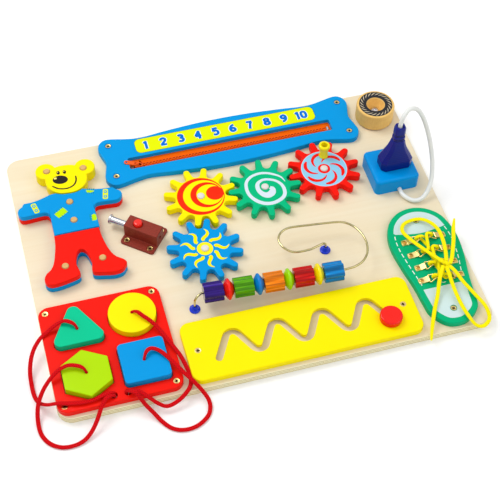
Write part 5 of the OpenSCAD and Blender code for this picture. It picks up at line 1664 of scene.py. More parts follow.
@dataclass
class Zipper:
    """Blue panel whose window shows a coil zipper with its slider, and a label of figures."""

    chain_from: float = -110.0
    chain_to: float = 183.0
    chain_y: float = 166.0
    chain_width: float = 5.4
    chain_low: float = 14.4
    chain_top: float = 17.0
    pitch: float = 2.5
    tape_low: float = 13.6
    tape_l: float = 334.0
    tape_w: float = 34.0
    window: Point = (33.0, 168.5)
    window_room: Point = (160.0, 12.0)
    slider_l: float = 13.0
    split: float = 4.0
    seam: float = 1.1
    stop_l: float = 3.0
    stop_half: float = 3.4
    label_middle: Point = (32.5, 198.7)
    label_l: float = 280.0
    label_w: float = 27.5
    label_r: float = 8.0
    label_rim: float = 0.6
    figure_pitch: float = 27.0

    def build(self) -> None:
        """Makes the panel, the tape with its teeth, the slider and the label."""
        softened("zip_panel", Paint("blue_panel", Hue.BLUE.value), "blue_paint", 1.4, 3,
                 outside(self.window, self.window_room, PANEL_RIM))
        self._tape()
        self._teeth()
        self._seams()
        self._stop()
        slider = Paint("orange_enamel", linear(245, 92, 8), 0.3, 0.6)
        softened("zip_slider", slider, "orange_metal", 0.25, 2)
        softened("zip_pull", slider, "orange_metal", 0.2, 2)
        self._label()

    def _tape(self) -> None:
        """Makes the woven tape, parted under the slider."""
        middle = Vector(self.window)
        left, right = middle.x - self.tape_l / 2, middle.x + self.tape_l / 2
        low, high = middle.y - self.tape_w / 2, middle.y + self.tape_w / 2
        s, y, x = self.split / 2, self.chain_y, self.chain_from - self.slider_l
        outline = [(left, low), (right, low), (right, high), (left, high), (left, y + s * 0.2),
                   (x, y + s), (self.chain_from, y + s), (self.chain_from, y - s), (x, y - s),
                   (left, y - s * 0.2)]
        shape = Mesh().sheet([Vector(p) for p in outline], self.tape_low, self.chain_low)
        tape = shape.piece("zip_tape_cloth", "board", WovenTape("orange_tape", linear(255, 104, 0)),
                           "orange_tape", ["zip_tape"], weighted=False)

    def _teeth(self) -> None:
        """Makes the two rows of coil teeth."""
        coil = Plastic("orange_coil", linear(250, 98, 0), 0.5, 0.02)
        count = 2 * int((self.chain_to - self.chain_from) / self.pitch / 2)
        half, rise = self.chain_width / 2, self.chain_top - self.chain_low
        shape = Mesh().box((-0.8, -0.4, 0.2), (0.8, half - 0.3, rise - 0.2), 0.45)
        start = Vector((self.chain_from, self.chain_y, self.chain_low))
        shape.repeated(Matrix.Translation(metres(start + Vector(((i + 0.5) * self.pitch, 0, 0))))
                       @ Matrix.Rotation(math.pi * (i % 2), 4, "Z") for i in range(count))
        shape.piece("coil_teeth", "board", coil, "orange_tape")

    def _seams(self) -> None:
        """Makes the sewn lines at both sides of the chain; their dark thread is also painted shade
        along the chain's edges.
        """
        # The thread is darker than the tape so that it also stands for the shade along the coil's
        # edges: painted shade.
        thread = Braid("thread_with_edge_shade", linear(150, 44, 0), 1.6, 2, 0.2, 0.8, 0.12)
        for name, side in (("upper_seam", 1), ("lower_seam", -1)):
            y = self.chain_y + side * (self.chain_width / 2 + 0.3)
            line = [Vector((x, y, self.chain_low + 0.2))
                    for x in (self.chain_from + 1, 40, self.chain_to)]
            dress(tube(name, line, self.seam, 8), "board", thread, "orange_tape")

    def _stop(self) -> None:
        """Makes the stop at the chain's closed end."""
        stop = Mesh().box((self.chain_to + 0.1, self.chain_y - self.stop_half, self.chain_low),
                          (self.chain_to + self.stop_l, self.chain_y + self.stop_half,
                           self.chain_top), 0.5)
        stop.piece("zip_stop", "board", Metal("zip_stop_metal", linear(215, 215, 222), 0.25),
                   "zinc_steel")

    def _label(self) -> None:
        """Makes the label: a dark rim, a lime ground and blue figures with white rims."""
        middle, rim = Vector(self.label_middle), self.label_rim
        for name, ink, tone, slot, grow, height in (
                ("label_rim", "label_rim_ink", linear(40, 70, 40), "blue_paint", rim, 0.08),
                ("label_ground", "label_ink", linear(226, 240, 0), "lime_paint", 0.0, 0.14)):
            outline = plate(middle, self.label_l + 2 * grow, self.label_w + 2 * grow,
                            self.label_r + grow)
            printed(name, "board", Paint(ink, tone), slot, [outline], PANEL_TOP, height)
        words = [str(k) for k in range(1, 11)]
        places = [(middle.x + self.figure_pitch * (k - 4.6), middle.y) for k in range(10)]
        figures("figure_rims", words, places, Paint("figure_rim_ink", linear(240, 250, 240)),
                "white_plastic", 0.18, 3.0)
        figures("figure_faces", words, places, Paint("figure_ink", linear(0, 112, 214)),
                "blue_paint", 0.27, 2.1)


# Gears


@dataclass
class GearTrain:
    """Four meshing gears with painted patterns, their white caps and the cranking knob."""

    top: float = 24.8
    edge: float = 1.3
    printed_disc: float = 30.0
    yellow: Point = (-37.3, 78.0)
    green: Point = (57.463, 71.290)
    red: Point = (151.753, 82.884)
    blue: Point = (-55.101, -15.317)
    rays: int = 9
    blades: int = 6
    ray: Route = ((14.0, -1.0, 2.1), (17.0, -1.9, 2.5), (20.0, 0.2, 2.5), (23.0, 3.2, 2.4),
                  (26.5, 4.9, 2.2), (30.0, 4.6, 1.6), (33.0, 2.4, 0.9), (35.0, 0.0, 0.15))
    blade: Route = ((29.0, 0, 1.2), (28.6, 12, 2.4), (27.2, 25, 2.5), (24.5, 38, 2.2),
                    (21.0, 50, 1.8), (16.5, 62, 1.2), (12.5, 72, 0.4))
    spiral: Route = (
        (89, 74, 0.4), (85, 84, 1.3), (76, 91.5, 1.8), (66, 96.5, 2.0), (55, 98, 2.1),
        (43, 95, 2.2), (34, 87, 2.3), (30.5, 75, 2.4), (31.5, 62, 2.6), (38, 50, 2.9),
        (48, 42, 3.0), (60, 39.5, 2.9), (73, 43, 2.8), (81, 50, 2.7), (83.5, 60, 2.6),
        (82, 70, 2.4), (76, 78.5, 2.1), (67, 83.5, 2.0), (58, 85, 2.1), (50, 81, 2.6),
        (47, 75, 3.1), (47, 67, 3.3), (51, 59, 4.2), (57.5, 55.5, 5.2),
        (64.5, 58.5, 5.2), (67, 65, 4.0), (64, 68.5, 2.6))
    cap: Points = ((0, -0.4), (5.5, -0.4), (5.6, 0.3), (5.4, 1.2), (4.6, 2.0), (2.5, 2.35),
                   (0, 2.4))
    pin: Points = ((0, 0), (10, 0), (10, 1.5), (4, 1.5), (4, 13.0), (0, 13.0))

    def build(self) -> None:
        """Dresses the gears, their prints, their pins and the knob."""
        for name, place, hue, layers in (
                ("yellow", self.yellow, Hue.YELLOW, self.nested_discs),
                ("green", self.green, Hue.GREEN, None), ("red", self.red, Hue.RED, self.target),
                ("blue", self.blue, Hue.BLUE, self.sun)):
            softened(f"{name}_gear", Paint(f"{name}_gear_paint", hue.value, printed=layers),
                     f"{name}_paint", self.edge, 3, clear_of([place], self.printed_disc))
        for name, gear, ink, tone, slot, outlines in (
                ("gear_spiral", "green_gear", "pale_blue_ink", linear(214, 226, 236),
                 "white_plastic", [ribbon(self.spiral)]),
                ("gear_rays", "blue_gear", "ray_ink", Hue.YELLOW.value, "yellow_paint",
                 [self._ray(-1 + 40 * k) for k in range(self.rays)]),
                ("gear_blades", "red_gear", "blade_ink", Hue.RED.value, "red_paint",
                 [self._blade(18 + 60 * k) for k in range(self.blades)])):
            printed(name, gear, Paint(ink, tone), slot, outlines, self.top)
        self._pins()
        gloss = Paint("yellow_knob", Hue.YELLOW.value, 0.3, 0.5)
        softened("gear_knob", gloss, "yellow_paint", 0.5, 2)
        coat("knob_screw", Metal("knob_screw_steel", linear(200, 202, 206), 0.28))

    def nested_discs(self, g: Graph) -> list[tuple[Signal, Shade]]:
        """The yellow gear's print: discs that touch at one side.

        Args:
            g: the material's graph.

        Returns:
            The print's layers.
        """
        x, y = self.yellow
        return [(disc(g, (x + across, y + up), radius), hue.value) for across, up, radius, hue in (
            (0.0, 0.0, 34.5, Hue.RED), (3.9, 0.0, 29.4, Hue.YELLOW), (8.9, 0.7, 23.6, Hue.RED),
            (13.0, 0.0, 19.0, Hue.YELLOW), (21.3, 0.9, 12.9, Hue.RED))]

    def target(self, g: Graph) -> list[tuple[Signal, Shade]]:
        """The red gear's print: a light blue disc with a brighter rim and a red centre."""
        return [(disc(g, self.red, radius), shade) for radius, shade in (
            (34.0, linear(170, 222, 240)), (33.0, linear(138, 200, 230)), (9.2, Hue.RED.value))]

    def sun(self, g: Graph) -> list[tuple[Signal, Shade]]:
        """The blue gear's print: a yellow disc round the pin."""
        return [(disc(g, self.blue, 11.4), Hue.YELLOW.value)]

    def _ray(self, angle: float) -> list[Vector]:
        """One wavy ray of the sun, at an angle in degrees."""
        out, side = polar(1, angle), polar(1, angle - 90)
        return ribbon([(*(Vector(self.blue) + out * r + side * s), w) for r, s, w in self.ray])

    def _blade(self, angle: float) -> list[Vector]:
        """One curved blade of the pinwheel, from an outer angle in degrees."""
        return ribbon([(*(Vector(self.red) + polar(r, angle + a)), w) for r, a, w in self.blade])

    def _pins(self) -> None:
        """Makes the pins with their white caps."""
        shape = Mesh()
        for place in (self.yellow, self.green, self.red, self.blue):
            shape.lathe(self.cap, (*place, self.top + 0.3), 40)
            shape.lathe(self.pin, (*place, BOARD_TOP), 32)
        white = Plastic("white_caps", linear(226, 222, 216), 0.45, 0.1)
        shape.piece("pin_caps", "board", white, "white_plastic", ["axle_pins"])


# Wheel


@dataclass
class Wheel:
    """A turned beech wheel on a screw, with a tyre printed on its top."""

    place: Point = (262.5, 173.0)
    floor: float = 26.8
    bore: float = 12.0
    print_level: float = 41.2
    tyre: Point = (19.85, 5.65)
    mark_row: float = 21.6
    mark_fade: float = 3.6
    mark_half: float = 2.9
    mark_count: int = 22
    lean: Point = (21.5, 0.06)
    head: Points = ((6.4, 0), (6.5, 0.9), (6.1, 2.0), (4.8, 2.8), (3.4, 3.0))

    def tyre_print(self, g: Graph) -> list[tuple[Signal, Shade]]:
        """A black tyre with slanted tan marks, on the top face alone.

        Args:
            g: the material's graph.

        Returns:
            The print's layers.
        """
        radius, angle = radial(g, self.place)
        (middle, half), (upright_at, lean) = self.tyre, self.lean
        ring = (abs(radius - middle) - half).inside(0.4) * g.height().above(self.print_level)
        turn = (angle + (radius - upright_at) * lean) * (self.mark_count / (2 * math.pi))
        off = abs(radius - self.mark_row)
        leaf = abs(turn.wrapped(0.5, -0.5)) - 0.2 * (1 - off / self.mark_fade)
        mark = leaf.inside(0.08) * (off - self.mark_half).inside(0.5)
        return [(ring, Hue.BLACK.value), (ring * mark, linear(205, 190, 160))]

    def build(self) -> None:
        """Dresses the wheel and its screw."""
        wood = Beech("wheel_beech", linear(246, 204, 118), linear(214, 164, 84),
                     printed=self.tyre_print)
        softened("wheel", wood, "beech", 1.2, 3, clear_of([self.place], self.bore))
        head = Mesh().screw_head(self.head, 2.6, 1.2)
        head.repeated([Matrix.Translation(metres((*self.place, self.floor + 0.3)))])
        head.piece("wheel_screw", "board", Metal("wheel_screw_steel", linear(214, 214, 220), 0.22),
                   "zinc_steel")


# Plug


@dataclass
class PlugStation:
    """Blue socket block, navy plug with stepped sides, and the white cord between them."""

    block_centre: Point = (246.5, 57.0)
    block_room: Point = (24.0, 24.0)
    block_edge: float = 5.0
    block_rim: float = 37.9
    plug_foot: float = 39.0
    held: float = 26.0
    loose: float = 110.0
    cord_diameter: float = 6.5
    cord_finish: Plastic = Plastic("white_cord_pvc", linear(238, 240, 236), 0.38, 0.3, grain=0.02)
    route: Route = (
        (250, 56, 112.2), (250, 56, 123), (254, 59, 133), (264, 65, 139), (277, 68, 133),
        (287, 66, 118), (294, 58, 98), (298, 46, 76), (298, 30, 54), (293, 14, 36), (284, 3, 24),
        (273, -3, 18), (262, -2, 16.6), (254, 6, 16.6), (250, 16, 16.6), (250, 32.5, 16.6))

    def cords(self) -> None:
        """Makes the plug's cord."""
        Cord("plug_lead", self.route, self.cord_diameter, self.cord_finish, "white_cord",
             ["plug_cord"], stiffness="medium", steps=6, sides=20,
             crossing=Crossing("plug", (0, 0, self.held), (0, 0, self.loose))).build()

    def build(self) -> None:
        """Dresses the block and the plug."""
        softened("socket_block", Paint("socket_paint", linear(0, 148, 226), 0.3, 0.08),
                 "blue_paint", self.block_edge, 5,
                 outside(self.block_centre, self.block_room, self.block_rim))
        softened("plug", RibbedPlastic("plug_plastic", Hue.NAVY.value), "navy_plastic", 0.5, 2,
                 above(self.plug_foot), 25.0)


# Bead wire


@dataclass
class BeadWire:
    """Bent wire on two blue feet, with nine beads along its front run."""

    diameter: float = 3.2
    start: Point = (-92.0, -103.0)
    end: Point = (110.4, -52.5)
    start_turn: float = 27.0
    end_turn: float = 200.0
    foot: float = 4.0
    high: float = 39.0
    low: float = 32.5
    bend: float = 9.0
    front: Points = ((-81, -97.5), (121, -109.5))
    back: Route = (
        (133, -108.5, 39), (146, -103, 38.6), (156.5, -92, 38.2), (162, -78, 37.8),
        (163, -63, 37.4), (159, -47, 37), (151, -35, 36.7), (140, -27.5, 36.4), (120, -24, 36.35),
        (88, -20, 35.75), (68, -18, 35.45), (56, -21, 35.15), (48, -29, 34.85), (46, -39, 34.55),
        (50, -50, 34.25), (59, -58, 33.3), (70, -60.5, 32.9), (86, -60, 32.6))
    run: float = math.atan2(-12, 202)
    # Each tube bead: its name, its tint and the paler colour of its painted highlight streaks.
    tubes: Sequence[tuple[str, Colour, Colour]] = (
        ("purple", linear(52, 18, 134), linear(96, 70, 190)),
        ("green", linear(88, 172, 0), linear(164, 222, 30)),
        ("orange", linear(255, 136, 0), linear(255, 184, 40)),
        ("red", linear(216, 4, 4), linear(250, 60, 50)),
        ("blue", linear(0, 134, 210), linear(60, 190, 240)))
    discs: Sequence[tuple[str, Colour]] = (
        ("red", linear(248, 30, 18)), ("blue", linear(0, 126, 210)), ("lime", linear(160, 224, 0)),
        ("yellow", linear(252, 232, 0)))

    def build(self) -> None:
        """Makes the wire and dresses its feet and beads."""
        dress(tube("bent_wire", self._path(), self.diameter, 16), "board",
              Metal("wire_steel", linear(214, 202, 150), 0.08, 0.7, 0.12), "bright_wire",
              ["bead_wire"])
        softened("wire_ferrules", Plastic("ferrule_plastic", linear(0, 52, 214), 0.3, 0.15),
                 "ferrule_blue", 0.4, 2)
        for name, colour, glow in self.tubes:
            softened(f"{name}_bead", Tinted(f"{name}_clear_bead", colour, glow, self.run),
                     f"{name}_glass", 0.7, 2, angle=50)
        for name, colour in self.discs:
            softened(f"{name}_disc_bead",
                     Plastic(f"{name}_gloss_bead", colour, 0.2, 0.15, 0.0, 0.015),
                     f"bead_{name}", 0.9, 3, angle=18)

    def _foot(self, place: Point, angle: float, level: float) -> list[Vector]:
        """An upright end of the wire and the bend that lifts it into a level run.

        Args:
            place: where it stands.
            angle: the direction of the run, in degrees.
            level: the height of the run.

        Returns:
            Its points, from the board up.
        """
        points = [Vector((*place, self.foot))]
        for k in range(9):
            turn = math.radians(90 * k / 8)
            flat = Vector(place) + polar(self.bend * (1 - math.cos(turn)), angle)
            points.append(Vector((*flat, level - self.bend + self.bend * math.sin(turn))))
        return points

    def _path(self) -> list[Vector]:
        """Follows the wire from foot to foot.

        Returns:
            Its centre line.
        """
        a, b = (Vector((*p, self.high)) for p in self.front)
        run = [a.lerp(b, k / 3) for k in range(4)]
        return (self._foot(self.start, self.start_turn, self.high) + run + smooth_path(self.back, 4)
                + self._foot(self.end, self.end_turn, self.low)[::-1])


# Shoe


@dataclass
class LacingShoe:
    """Green shoe with pale toe and heel, eight brass lace rings and a tied yellow lace."""

    centre: Point = (249.0, -119.0)
    half_l: float = 102.0
    toe: float = 49.5
    heel: float = 38.5
    border: float = 8.5
    seam_in: float = 1.2
    screw_hole: float = 4.6
    plain: float = 34.0
    strap_corner: float = 3.6
    reach: float = 10.5
    hinge_rise: float = 2.0
    ring: float = 12.0
    tilt: float = 22.0
    lace_d: float = 3.6
    lace_w: float = 5.6
    run_w: float = 4.6
    lace_t: float = 3.0
    lace_low: float = 23.6
    tail_tip: float = 22.0
    knot_at: Point = (257, -136)
    lace: Braid = Braid("yellow_lace", linear(255, 240, 0), 3.2, 5, 0.03, 0.8, 0.16, 0.25)

    @property
    def lace_high(self) -> float:
        """How high the lace lies over a ring's far bar."""
        return (PANEL_TOP + self.hinge_rise + self.ring * math.sin(math.radians(self.tilt)) + 0.9
                + self.lace_d / 2 + 0.2)

    @property
    def knot(self) -> Point3:
        """The knot's middle."""
        return (*self.knot_at, self.lace_high + self.lace_d / 2 + 5.3)

    def cords(self) -> None:
        """Makes the lace: its crossed run, two loops, two ends and the knot."""
        knot = dress(tube("lace_knot", self._knot(), self.lace_d * 1.15, 16), "board", self.lace,
                     "yellow_lace")
        self._lace("lace_crossed_run", self._crossed(), self.run_w, ["shoelace"], [knot])
        self._lace("lace_upper_loop", [
            (253.6, -131.8, 39), (245, -118, 38.5), (234, -99, 37), (225, -80, 35), (221, -62, 31),
            (228, -48, 27), (243, -42, 25), (256, -45, 27), (265, -57, 31), (269, -75, 36),
            (268, -95, 38), (264, -115, 39), (258.7, -132, 39.1)], self.lace_w)
        self._lace("lace_lower_loop", [
            (260.1, -140.5, 38.4), (265, -150, 37), (272, -167, 31), (282, -188, 26),
            (289, -207, 23), (289, -223, 17), (278, -231, 15), (267, -228.5, 18),
            (259.5, -215, 25.2), (257, -195, 26), (256, -172, 29), (255.7, -153, 35),
            (255.9, -140.4, 38.1)], self.lace_w)
        self._lace("lace_left_end", [
            (251.8, -137.4, 37.6), (246, -146, 37), (239, -158, 33), (231, -175, 27),
            (221, -192, 24), (212, -209, 22.5), (206, -222, 17), (201, -234, 14)], self.lace_w,
                   tip=self.tail_tip)
        self._lace("lace_right_end", [
            (262.4, -136.5, 37.6), (269, -127, 38), (277, -111, 37), (285, -94, 35), (293, -75, 31),
            (302, -57, 28)], self.lace_w, tip=self.tail_tip)

    def _lace(self, name: str, route: Route, width: float, replaces: Sequence[str] = (),
              with_pieces: Sequence[Object] = (), tip: float = 0.0) -> None:
        """Makes one part of the lace.

        Args:
            name: the piece's name.
            route: the points that it passes, in millimetres.
            width: its flat side.
            replaces: the CAD nodes that it stands for.
            with_pieces: separate pieces that go with it.
            tip: the length of its drawn-out tip, where its end is free.
        """
        Cord(name, route, width, self.lace, "yellow_lace", replaces,
             far_end="bare" if tip else "object", steps=6, tip=tip,
             flat=self.lace_t).build(with_pieces)

    def _crossed(self) -> list[Point3]:
        """Leads the lace from ring to ring.

        Returns:
            Its route.
        """
        top = self.knot[2]
        points = [(253.8, -136.4, top - 3.4), (250, -139.5, 29), (246.5, -142.3, 24.6)]
        for side, row, over in ((-1, 3, True), (1, 2, False), (-1, 1, True), (1, 0, False),
                                (-1, 0, False), (1, 1, True), (-1, 2, False), (1, 3, True)):
            points += self._turn(side, row, over)
        return points + [(250.4, -144.6, 31.6), (251.2, -141.6, 32.8), (253.6, -140.2, 33.8),
                         (256.1, -139.7, top - 3.1)]

    def _turn(self, side: int, row: int, over: bool) -> list[Point3]:
        """The lace's way round the far bar of one ring.

        Args:
            side: -1 for the left rings, 1 for the right ones.
            row: the ring's row, from the toe.
            over: whether the lace leaves the bar on its upper side.

        Returns:
            The route's points.
        """
        x, y = LACE_SCREWS[row + (4 if side > 0 else 0)]
        bar = x - side * (self.reach + self.ring * math.cos(math.radians(self.tilt)))
        low, high = self.lace_low, self.lace_high
        turn = [(3, low), (-3.5, low), (-6.2, (low + high) / 2), (-3.5, high), (3, high)]
        return [(bar - side * a, y, z) for a, z in (turn if over else turn[::-1])]

    def _knot(self) -> list[Vector]:
        """Wraps the lace twice round the crossing.

        Returns:
            The wraps' centre line.
        """
        points = []
        lean = Matrix.Rotation(math.radians(28), 3, "Z") @ Matrix.Rotation(math.radians(12), 3, "Y")
        for k in range(49):
            turn = 2 * math.pi * 2.1 * k / 48
            ring = Vector((-2.2 + 4.4 * k / 48, 3.5 * math.cos(turn), 2.9 * math.sin(turn)))
            points.append(Vector(self.knot) + lean @ ring)
        return points

    def _outline(self) -> list[Vector]:
        """Draws the sole.

        Returns:
            Its outline, anticlockwise.
        """
        l, t, h = self.half_l, self.toe, self.heel
        points = [
            (0, l), (-22, l - 5.5), (-39, l - 21), (-t + 2, l - 42), (-t, l - 66),
            (-t + 3.5, l - 98), (-h - 2.5, l - 130), (-h, -l + 44), (-h + 3.5, -l + 24),
            (-20, -l + 5), (-3, -l), (14, -l + 4), (h - 7, -l + 19), (h - 3, -l + 42),
            (h + 1.5, l - 130), (t - 3, l - 98), (t, l - 66), (t - 3, l - 42), (39, l - 21),
            (22, l - 5.5)]
        return [p + Vector(self.centre) for p in smooth_loop(points, 8)]

    def build(self) -> None:
        """Dresses the panel, its prints, the straps and the rings."""
        softened("shoe_panel", Paint("shoe_paint", linear(0, 176, 118)), "green_paint", 1.6, 3,
                 clear_of([self.centre], self.plain, PANEL_RIM))
        inner = pulled_in(self._outline(), self.border)
        self._patches(inner)
        self._stitches(inner)
        self._straps()
        gold = Metal("ring_brass", linear(236, 206, 130), 0.2, 0.2)
        for ring in [f"{side}_ring_{row}" for side in ("left", "right") for row in range(1, 5)]:
            Mesh.of_node(ring).piece(f"finished_{ring}", ring, gold, "brass", [ring], angle=70,
                                     weighted=False)

    def _straps(self) -> None:
        """Rounds the straps' outer ends round their screws."""
        shape = Mesh.of_node("ring_straps")
        corners = []
        for edge in shape.bm.edges:
            a, b = (v.co / MM for v in edge.verts)
            if (a - b).to_2d().length < 0.01 and len(edge.link_faces) == 2:
                x, y = min(LACE_SCREWS, key=lambda s: (a.to_2d() - Vector(s)).length)
                outward = (a.x - x) * (-1 if x < self.centre[0] else 1)
                if outward > 3.0 and abs(a.y - y) > 4.0 and edge.calc_face_angle(0.0) > 1.0:
                    corners.append(edge)
        shape.bevelled(corners, self.strap_corner, 7)
        log.info("%d strap corners rounded", len(corners))
        shape.piece("finished_ring_straps", "board",
                    Metal("strap_brass", linear(246, 222, 150), 0.26, 0.2), "brass",
                    ["ring_straps"], angle=30)

    def _patches(self, inner: Line) -> None:
        """Makes the pale toe and heel.

        Args:
            inner: the shoe's outline inside its seam.
        """
        toe_edge = [(205, -56.5), (230, -62), (250, -64.5), (270, -62.5), (295, -58)]
        upper = [p for p in inner if p.y > -57.5]
        split = min(range(len(upper)), key=lambda i: upper[i].x)
        across = [p for p in smooth_path(toe_edge, 8) if upper[split].x < p.x < 290]
        toe = upper[:split + 1] + across + upper[split + 1:]
        heel = [p for p in inner if p.y < -157.5]
        pale = Paint("shoe_pale_ink", linear(204, 226, 226))
        for name, outline, screw in zip(("shoe_toe_print", "shoe_heel_print"), (toe, heel),
                                        SHOE_SCREWS):
            printed(name, "board", pale, "green_paint", [self._around(outline)], PANEL_TOP,
                    holes=[oval(screw, self.screw_hole, self.screw_hole)])

    def _around(self, points: Line) -> list[Vector]:
        """Points of a simple shape in order round their middle."""
        middle = sum(points, Vector((0, 0))) / len(points)
        return sorted(points, key=lambda p: math.atan2(p.y - middle.y, p.x - middle.x))

    def _along(self, line: Line, distance: float) -> Vector:
        """Walks along a line.

        Args:
            line: its points.
            distance: how far to go.

        Returns:
            The point that is reached.
        """
        for a, b in zip(line, line[1:]):
            step = (b - a).length
            if distance <= step:
                return a.lerp(b, distance / step)
            distance -= step
        return line[-1]

    def _stitches(self, inner: Line) -> None:
        """Makes the dashed seams down both sides and on the tongue.

        Args:
            inner: the shoe's outline inside its seam.
        """
        dashes = []
        dash, spacing = 6.5, 10.5
        for side in (-1, 1):
            line = sorted((p for p in pulled_in(inner, self.seam_in)
                           if (p.x - self.centre[0]) * side > 0 and -156 < p.y < -60),
                          key=lambda p: -p.y)
            start = 0.0
            while start + dash < path_length(line):
                dashes.append(ribbon([(*self._along(line, start + part), 0.65)
                                      for part in (0, 3.2, dash)], 1))
                start += spacing
        for y in (-70, -84, -98, -112, -126, -140, -152):
            tick = [(246.5, y, 0.5), (249.0, y - 1.5, 0.5), (252.5, y - 1.0, 0.5)]
            dashes.append(ribbon(tick, 3))
        printed("shoe_stitches", "board", Paint("stitch_ink", linear(236, 244, 240)),
                "white_plastic", dashes, PANEL_TOP, 0.1)


# Latch


@dataclass
class Latch:
    """Brown hammered latch with a steel bolt, a red button and a spring for the bolt to squeeze,
    left in its CAD shape.
    """

    edge: float = 0.9
    foot: float = 13.0
    button_rim: float = 38.0
    place: Point3 = (-131.0, 36.3, 25.0)
    turn: float = -39.5
    spring_end: float = 22.7
    squeezed: float = 0.38

    def build(self) -> None:
        """Dresses the latch."""
        softened("latch_case", Hammered("brown_hammered", linear(146, 50, 34)), "brown_enamel",
                 self.edge, 3, above(self.foot))
        steel = Metal("bolt_steel", linear(214, 216, 222), 0.16, 0.2)
        softened("latch_bolt", steel, "zinc_steel", 0.4, 2)
        softened("latch_button", Plastic("button_plastic", linear(246, 30, 14), 0.25, 0.6),
                 "red_paint", 1.6, 4, above(self.button_rim))
        spring = softened("latch_spring", Metal("spring_steel", linear(190, 192, 196), 0.3),
                          "zinc_steel", 0)
        along = Vector((*polar(1.0, self.turn), 0))
        tuple(metres(Vector(self.place) + along * self.spring_end))
        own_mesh(spring)


# Bear


def frayed(corners: Line) -> list[Vector]:
    """A roughly cut patch, with short threads torn out all round.

    Args:
        corners: the patch's corners, anticlockwise.

    Returns:
        Its outline.
    """
    tooth, depth = 1.5, 0.55
    outline = []
    for a, b in zip(corners, [*corners[1:], corners[0]]):
        run = b - a
        count = max(2, round(run.length / tooth))
        out = -square_to(run.normalized())
        for k in range(count):
            reach = depth * (1.0 if k % 2 else -0.2) * (0.6 + 0.4 * math.sin(7.3 * k + a.x))
            outline.append(a + run * (k / count) + out * reach)
    return outline


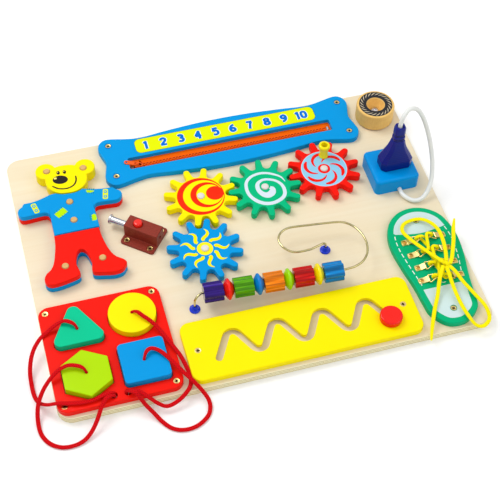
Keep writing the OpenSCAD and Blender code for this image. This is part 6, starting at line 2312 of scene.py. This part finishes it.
@dataclass
class Bear:
    """Bear dress-up puzzle: a head, two shirts, two pairs of trousers, on beech pegs."""

    top: float = 30.0
    edge: float = 1.3
    bore: float = 6.5
    pegs: Points = ((-244.2, 176.4), (-191.5, 170.0), (-222.1, 111.7), (-222.3, 77.6),
                    (-248.7, 1.3), (-196.4, 2.5))
    smile: Route = (
        (-240.8, 146.8, 0.5), (-240.0, 145.6, 1.0), (-233.3, 140.0, 1.1), (-225.0, 137.5, 1.1),
        (-216.7, 138.0, 1.1), (-209.2, 142.5, 1.1), (-205.5, 150.0, 1.1), (-205.0, 156.5, 1.0),
        (-205.2, 157.8, 0.5))
    square: Point = (-237.8, 94.7)
    square_turn: float = 32.0
    sewn: Sequence[tuple[Point, float, float, float]] = (
        ((-237.8, 94.7), 32, 8.7, 5.8), ((-194.0, 75.2), 90, 6.0, 3.6),
        ((-190.2, 123.8), -16, 6.0, 3.0))
    cuffs: Sequence[tuple[Point, float]] = (((-271.8, 112.0), 102), ((-170.0, 112.8), 78))
    button: float = 4.4
    ink: Paint = Paint("bear_ink", linear(34, 30, 28), 0.4, 0.2)

    def build(self) -> None:
        """Dresses the pieces and makes their prints."""
        bores = clear_of(self.pegs, self.bore)
        for node, paint, hue in (
                ("bear_head", "head_paint", Hue.YELLOW),
                ("shirt_under", "shirt_under_paint", Hue.RED),
                ("shirt_top", "shirt_top_paint", Hue.BLUE),
                ("trousers_under", "trousers_under_paint", Hue.BLUE),
                ("trousers_top", "trousers_top_paint", Hue.RED)):
            finish = Paint(paint, hue.value)
            softened(node, finish, f"{hue.name.lower()}_paint", self.edge, 3, bores)
        softened("bear_pegs",
                 Beech("peg_beech", linear(226, 186, 122), linear(180, 128, 66), (0.8, 0.8, 0.2)),
                 "beech", 0.8, 3)
        self._face()
        self._patches()
        self._cuffs()

    def _face(self) -> None:
        """Makes the eyes, the nose and the smile."""
        shapes = [oval((-228.3, 169.6), 2.4, 3.5), oval((-219.2, 168.9), 2.4, 3.5),
                  oval((-227.7, 155.8), 11.0, 8.0, -10), ribbon(self.smile)]
        printed("bear_face", "bear_head", self.ink, "yellow_paint", shapes, self.top)
        shine = [oval((-234.3, 159.8), 2.3, 1.8, 15), oval((-229.0, 170.8), 0.7, 0.9),
                 oval((-219.9, 170.1), 0.7, 0.9)]
        printed("face_shine", "bear_head", Paint("shine_ink", linear(250, 236, 120)),
                "yellow_paint", shine, self.top + 0.12, 0.1)

    def _patches(self) -> None:
        """Makes the shirt's sewn patches."""
        spin = Matrix.Rotation(math.radians(self.square_turn), 2)
        square = ((-8.4, -5.2), (8.2, -5.6), (8.6, 5.4), (-8.2, 5.0))
        tall = ((-197.6, 69.4), (-190.8, 69.6), (-190.6, 78.6), (-192.0, 81.0), (-196.4, 80.4))
        wide = ((-195.6, 122.6), (-190.0, 120.8), (-185.0, 121.8), (-184.6, 123.4), (-195.2, 127.0))
        corners = [[Vector(self.square) + spin @ Vector(p) for p in square],
                   [Vector(p) for p in tall], [Vector(p) for p in wide]]
        printed("shirt_patches", "shirt_top", Paint("patch_ink", linear(186, 232, 0)), "lime_paint",
                [frayed(line) for line in corners], self.top)
        stitches = []
        for centre, turn, half_l, half_w in self.sewn:
            spin = Matrix.Rotation(math.radians(turn), 2)
            for x, side in ((share * half_l, side) for share in (-0.75, -0.25, 0.25, 0.75)
                            for side in (-1, 1)):
                a, b = (Vector(centre) + spin @ Vector(p)
                        for p in ((x, side * (half_w - 1.6)), (x + 0.8, side * (half_w + 2.4))))
                if not (b.x > -190 and b.y < 110):  # these would hang over the shirt's side
                    stitches.append(ribbon([(*a, 0.32), (*b, 0.32)], 1))
        printed("patch_stitches", "shirt_top", Paint("stitch_green", linear(20, 150, 90)),
                "green_paint", stitches, self.top + 0.12, 0.08)

    def _cuffs(self) -> None:
        """Makes the shirt's cuffs, each with two buttons."""
        printed("cuff_grounds", "shirt_top", Paint("cuff_ink", linear(226, 238, 0)), "lime_paint",
                [plate(place, 18.5, 7.4, 2.2, turn) for place, turn in self.cuffs], self.top)
        for name, ink, tone, slot, half, rise, height in (
                ("cuff_rings", "cuff_ring_ink", Hue.BLUE.value, "blue_paint", (2.9, 2.5), 0.12,
                 0.08),
                ("cuff_dots", "cuff_dot_ink", linear(206, 234, 40), "lime_paint", (1.5, 1.2), 0.2,
                 0.06)):
            ovals = [oval(Vector(place) + polar(way * self.button, turn), *half, turn)
                     for place, turn in self.cuffs for way in (-1, 1)]
            printed(name, "shirt_top", Paint(ink, tone), slot, ovals, self.top + rise, height)


def main() -> None:
    """Builds the board station by station."""
    logging.basicConfig(level=logging.INFO, format="%(message)s")
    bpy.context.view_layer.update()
    Studio().build()
    sorter, plug, shoe = ShapeSorter(), PlugStation(), LacingShoe()
    for station in (sorter, plug, shoe):
        station.cords()
    for station in (Sheet(), Fasteners(), sorter, Maze(), Zipper(), GearTrain(), Wheel(), plug,
                    BeadWire(), shoe, Latch(), Bear()):
        log.info("Station: %s", type(station).__name__)
        station.build()


if __name__ == "__main__":
    main()
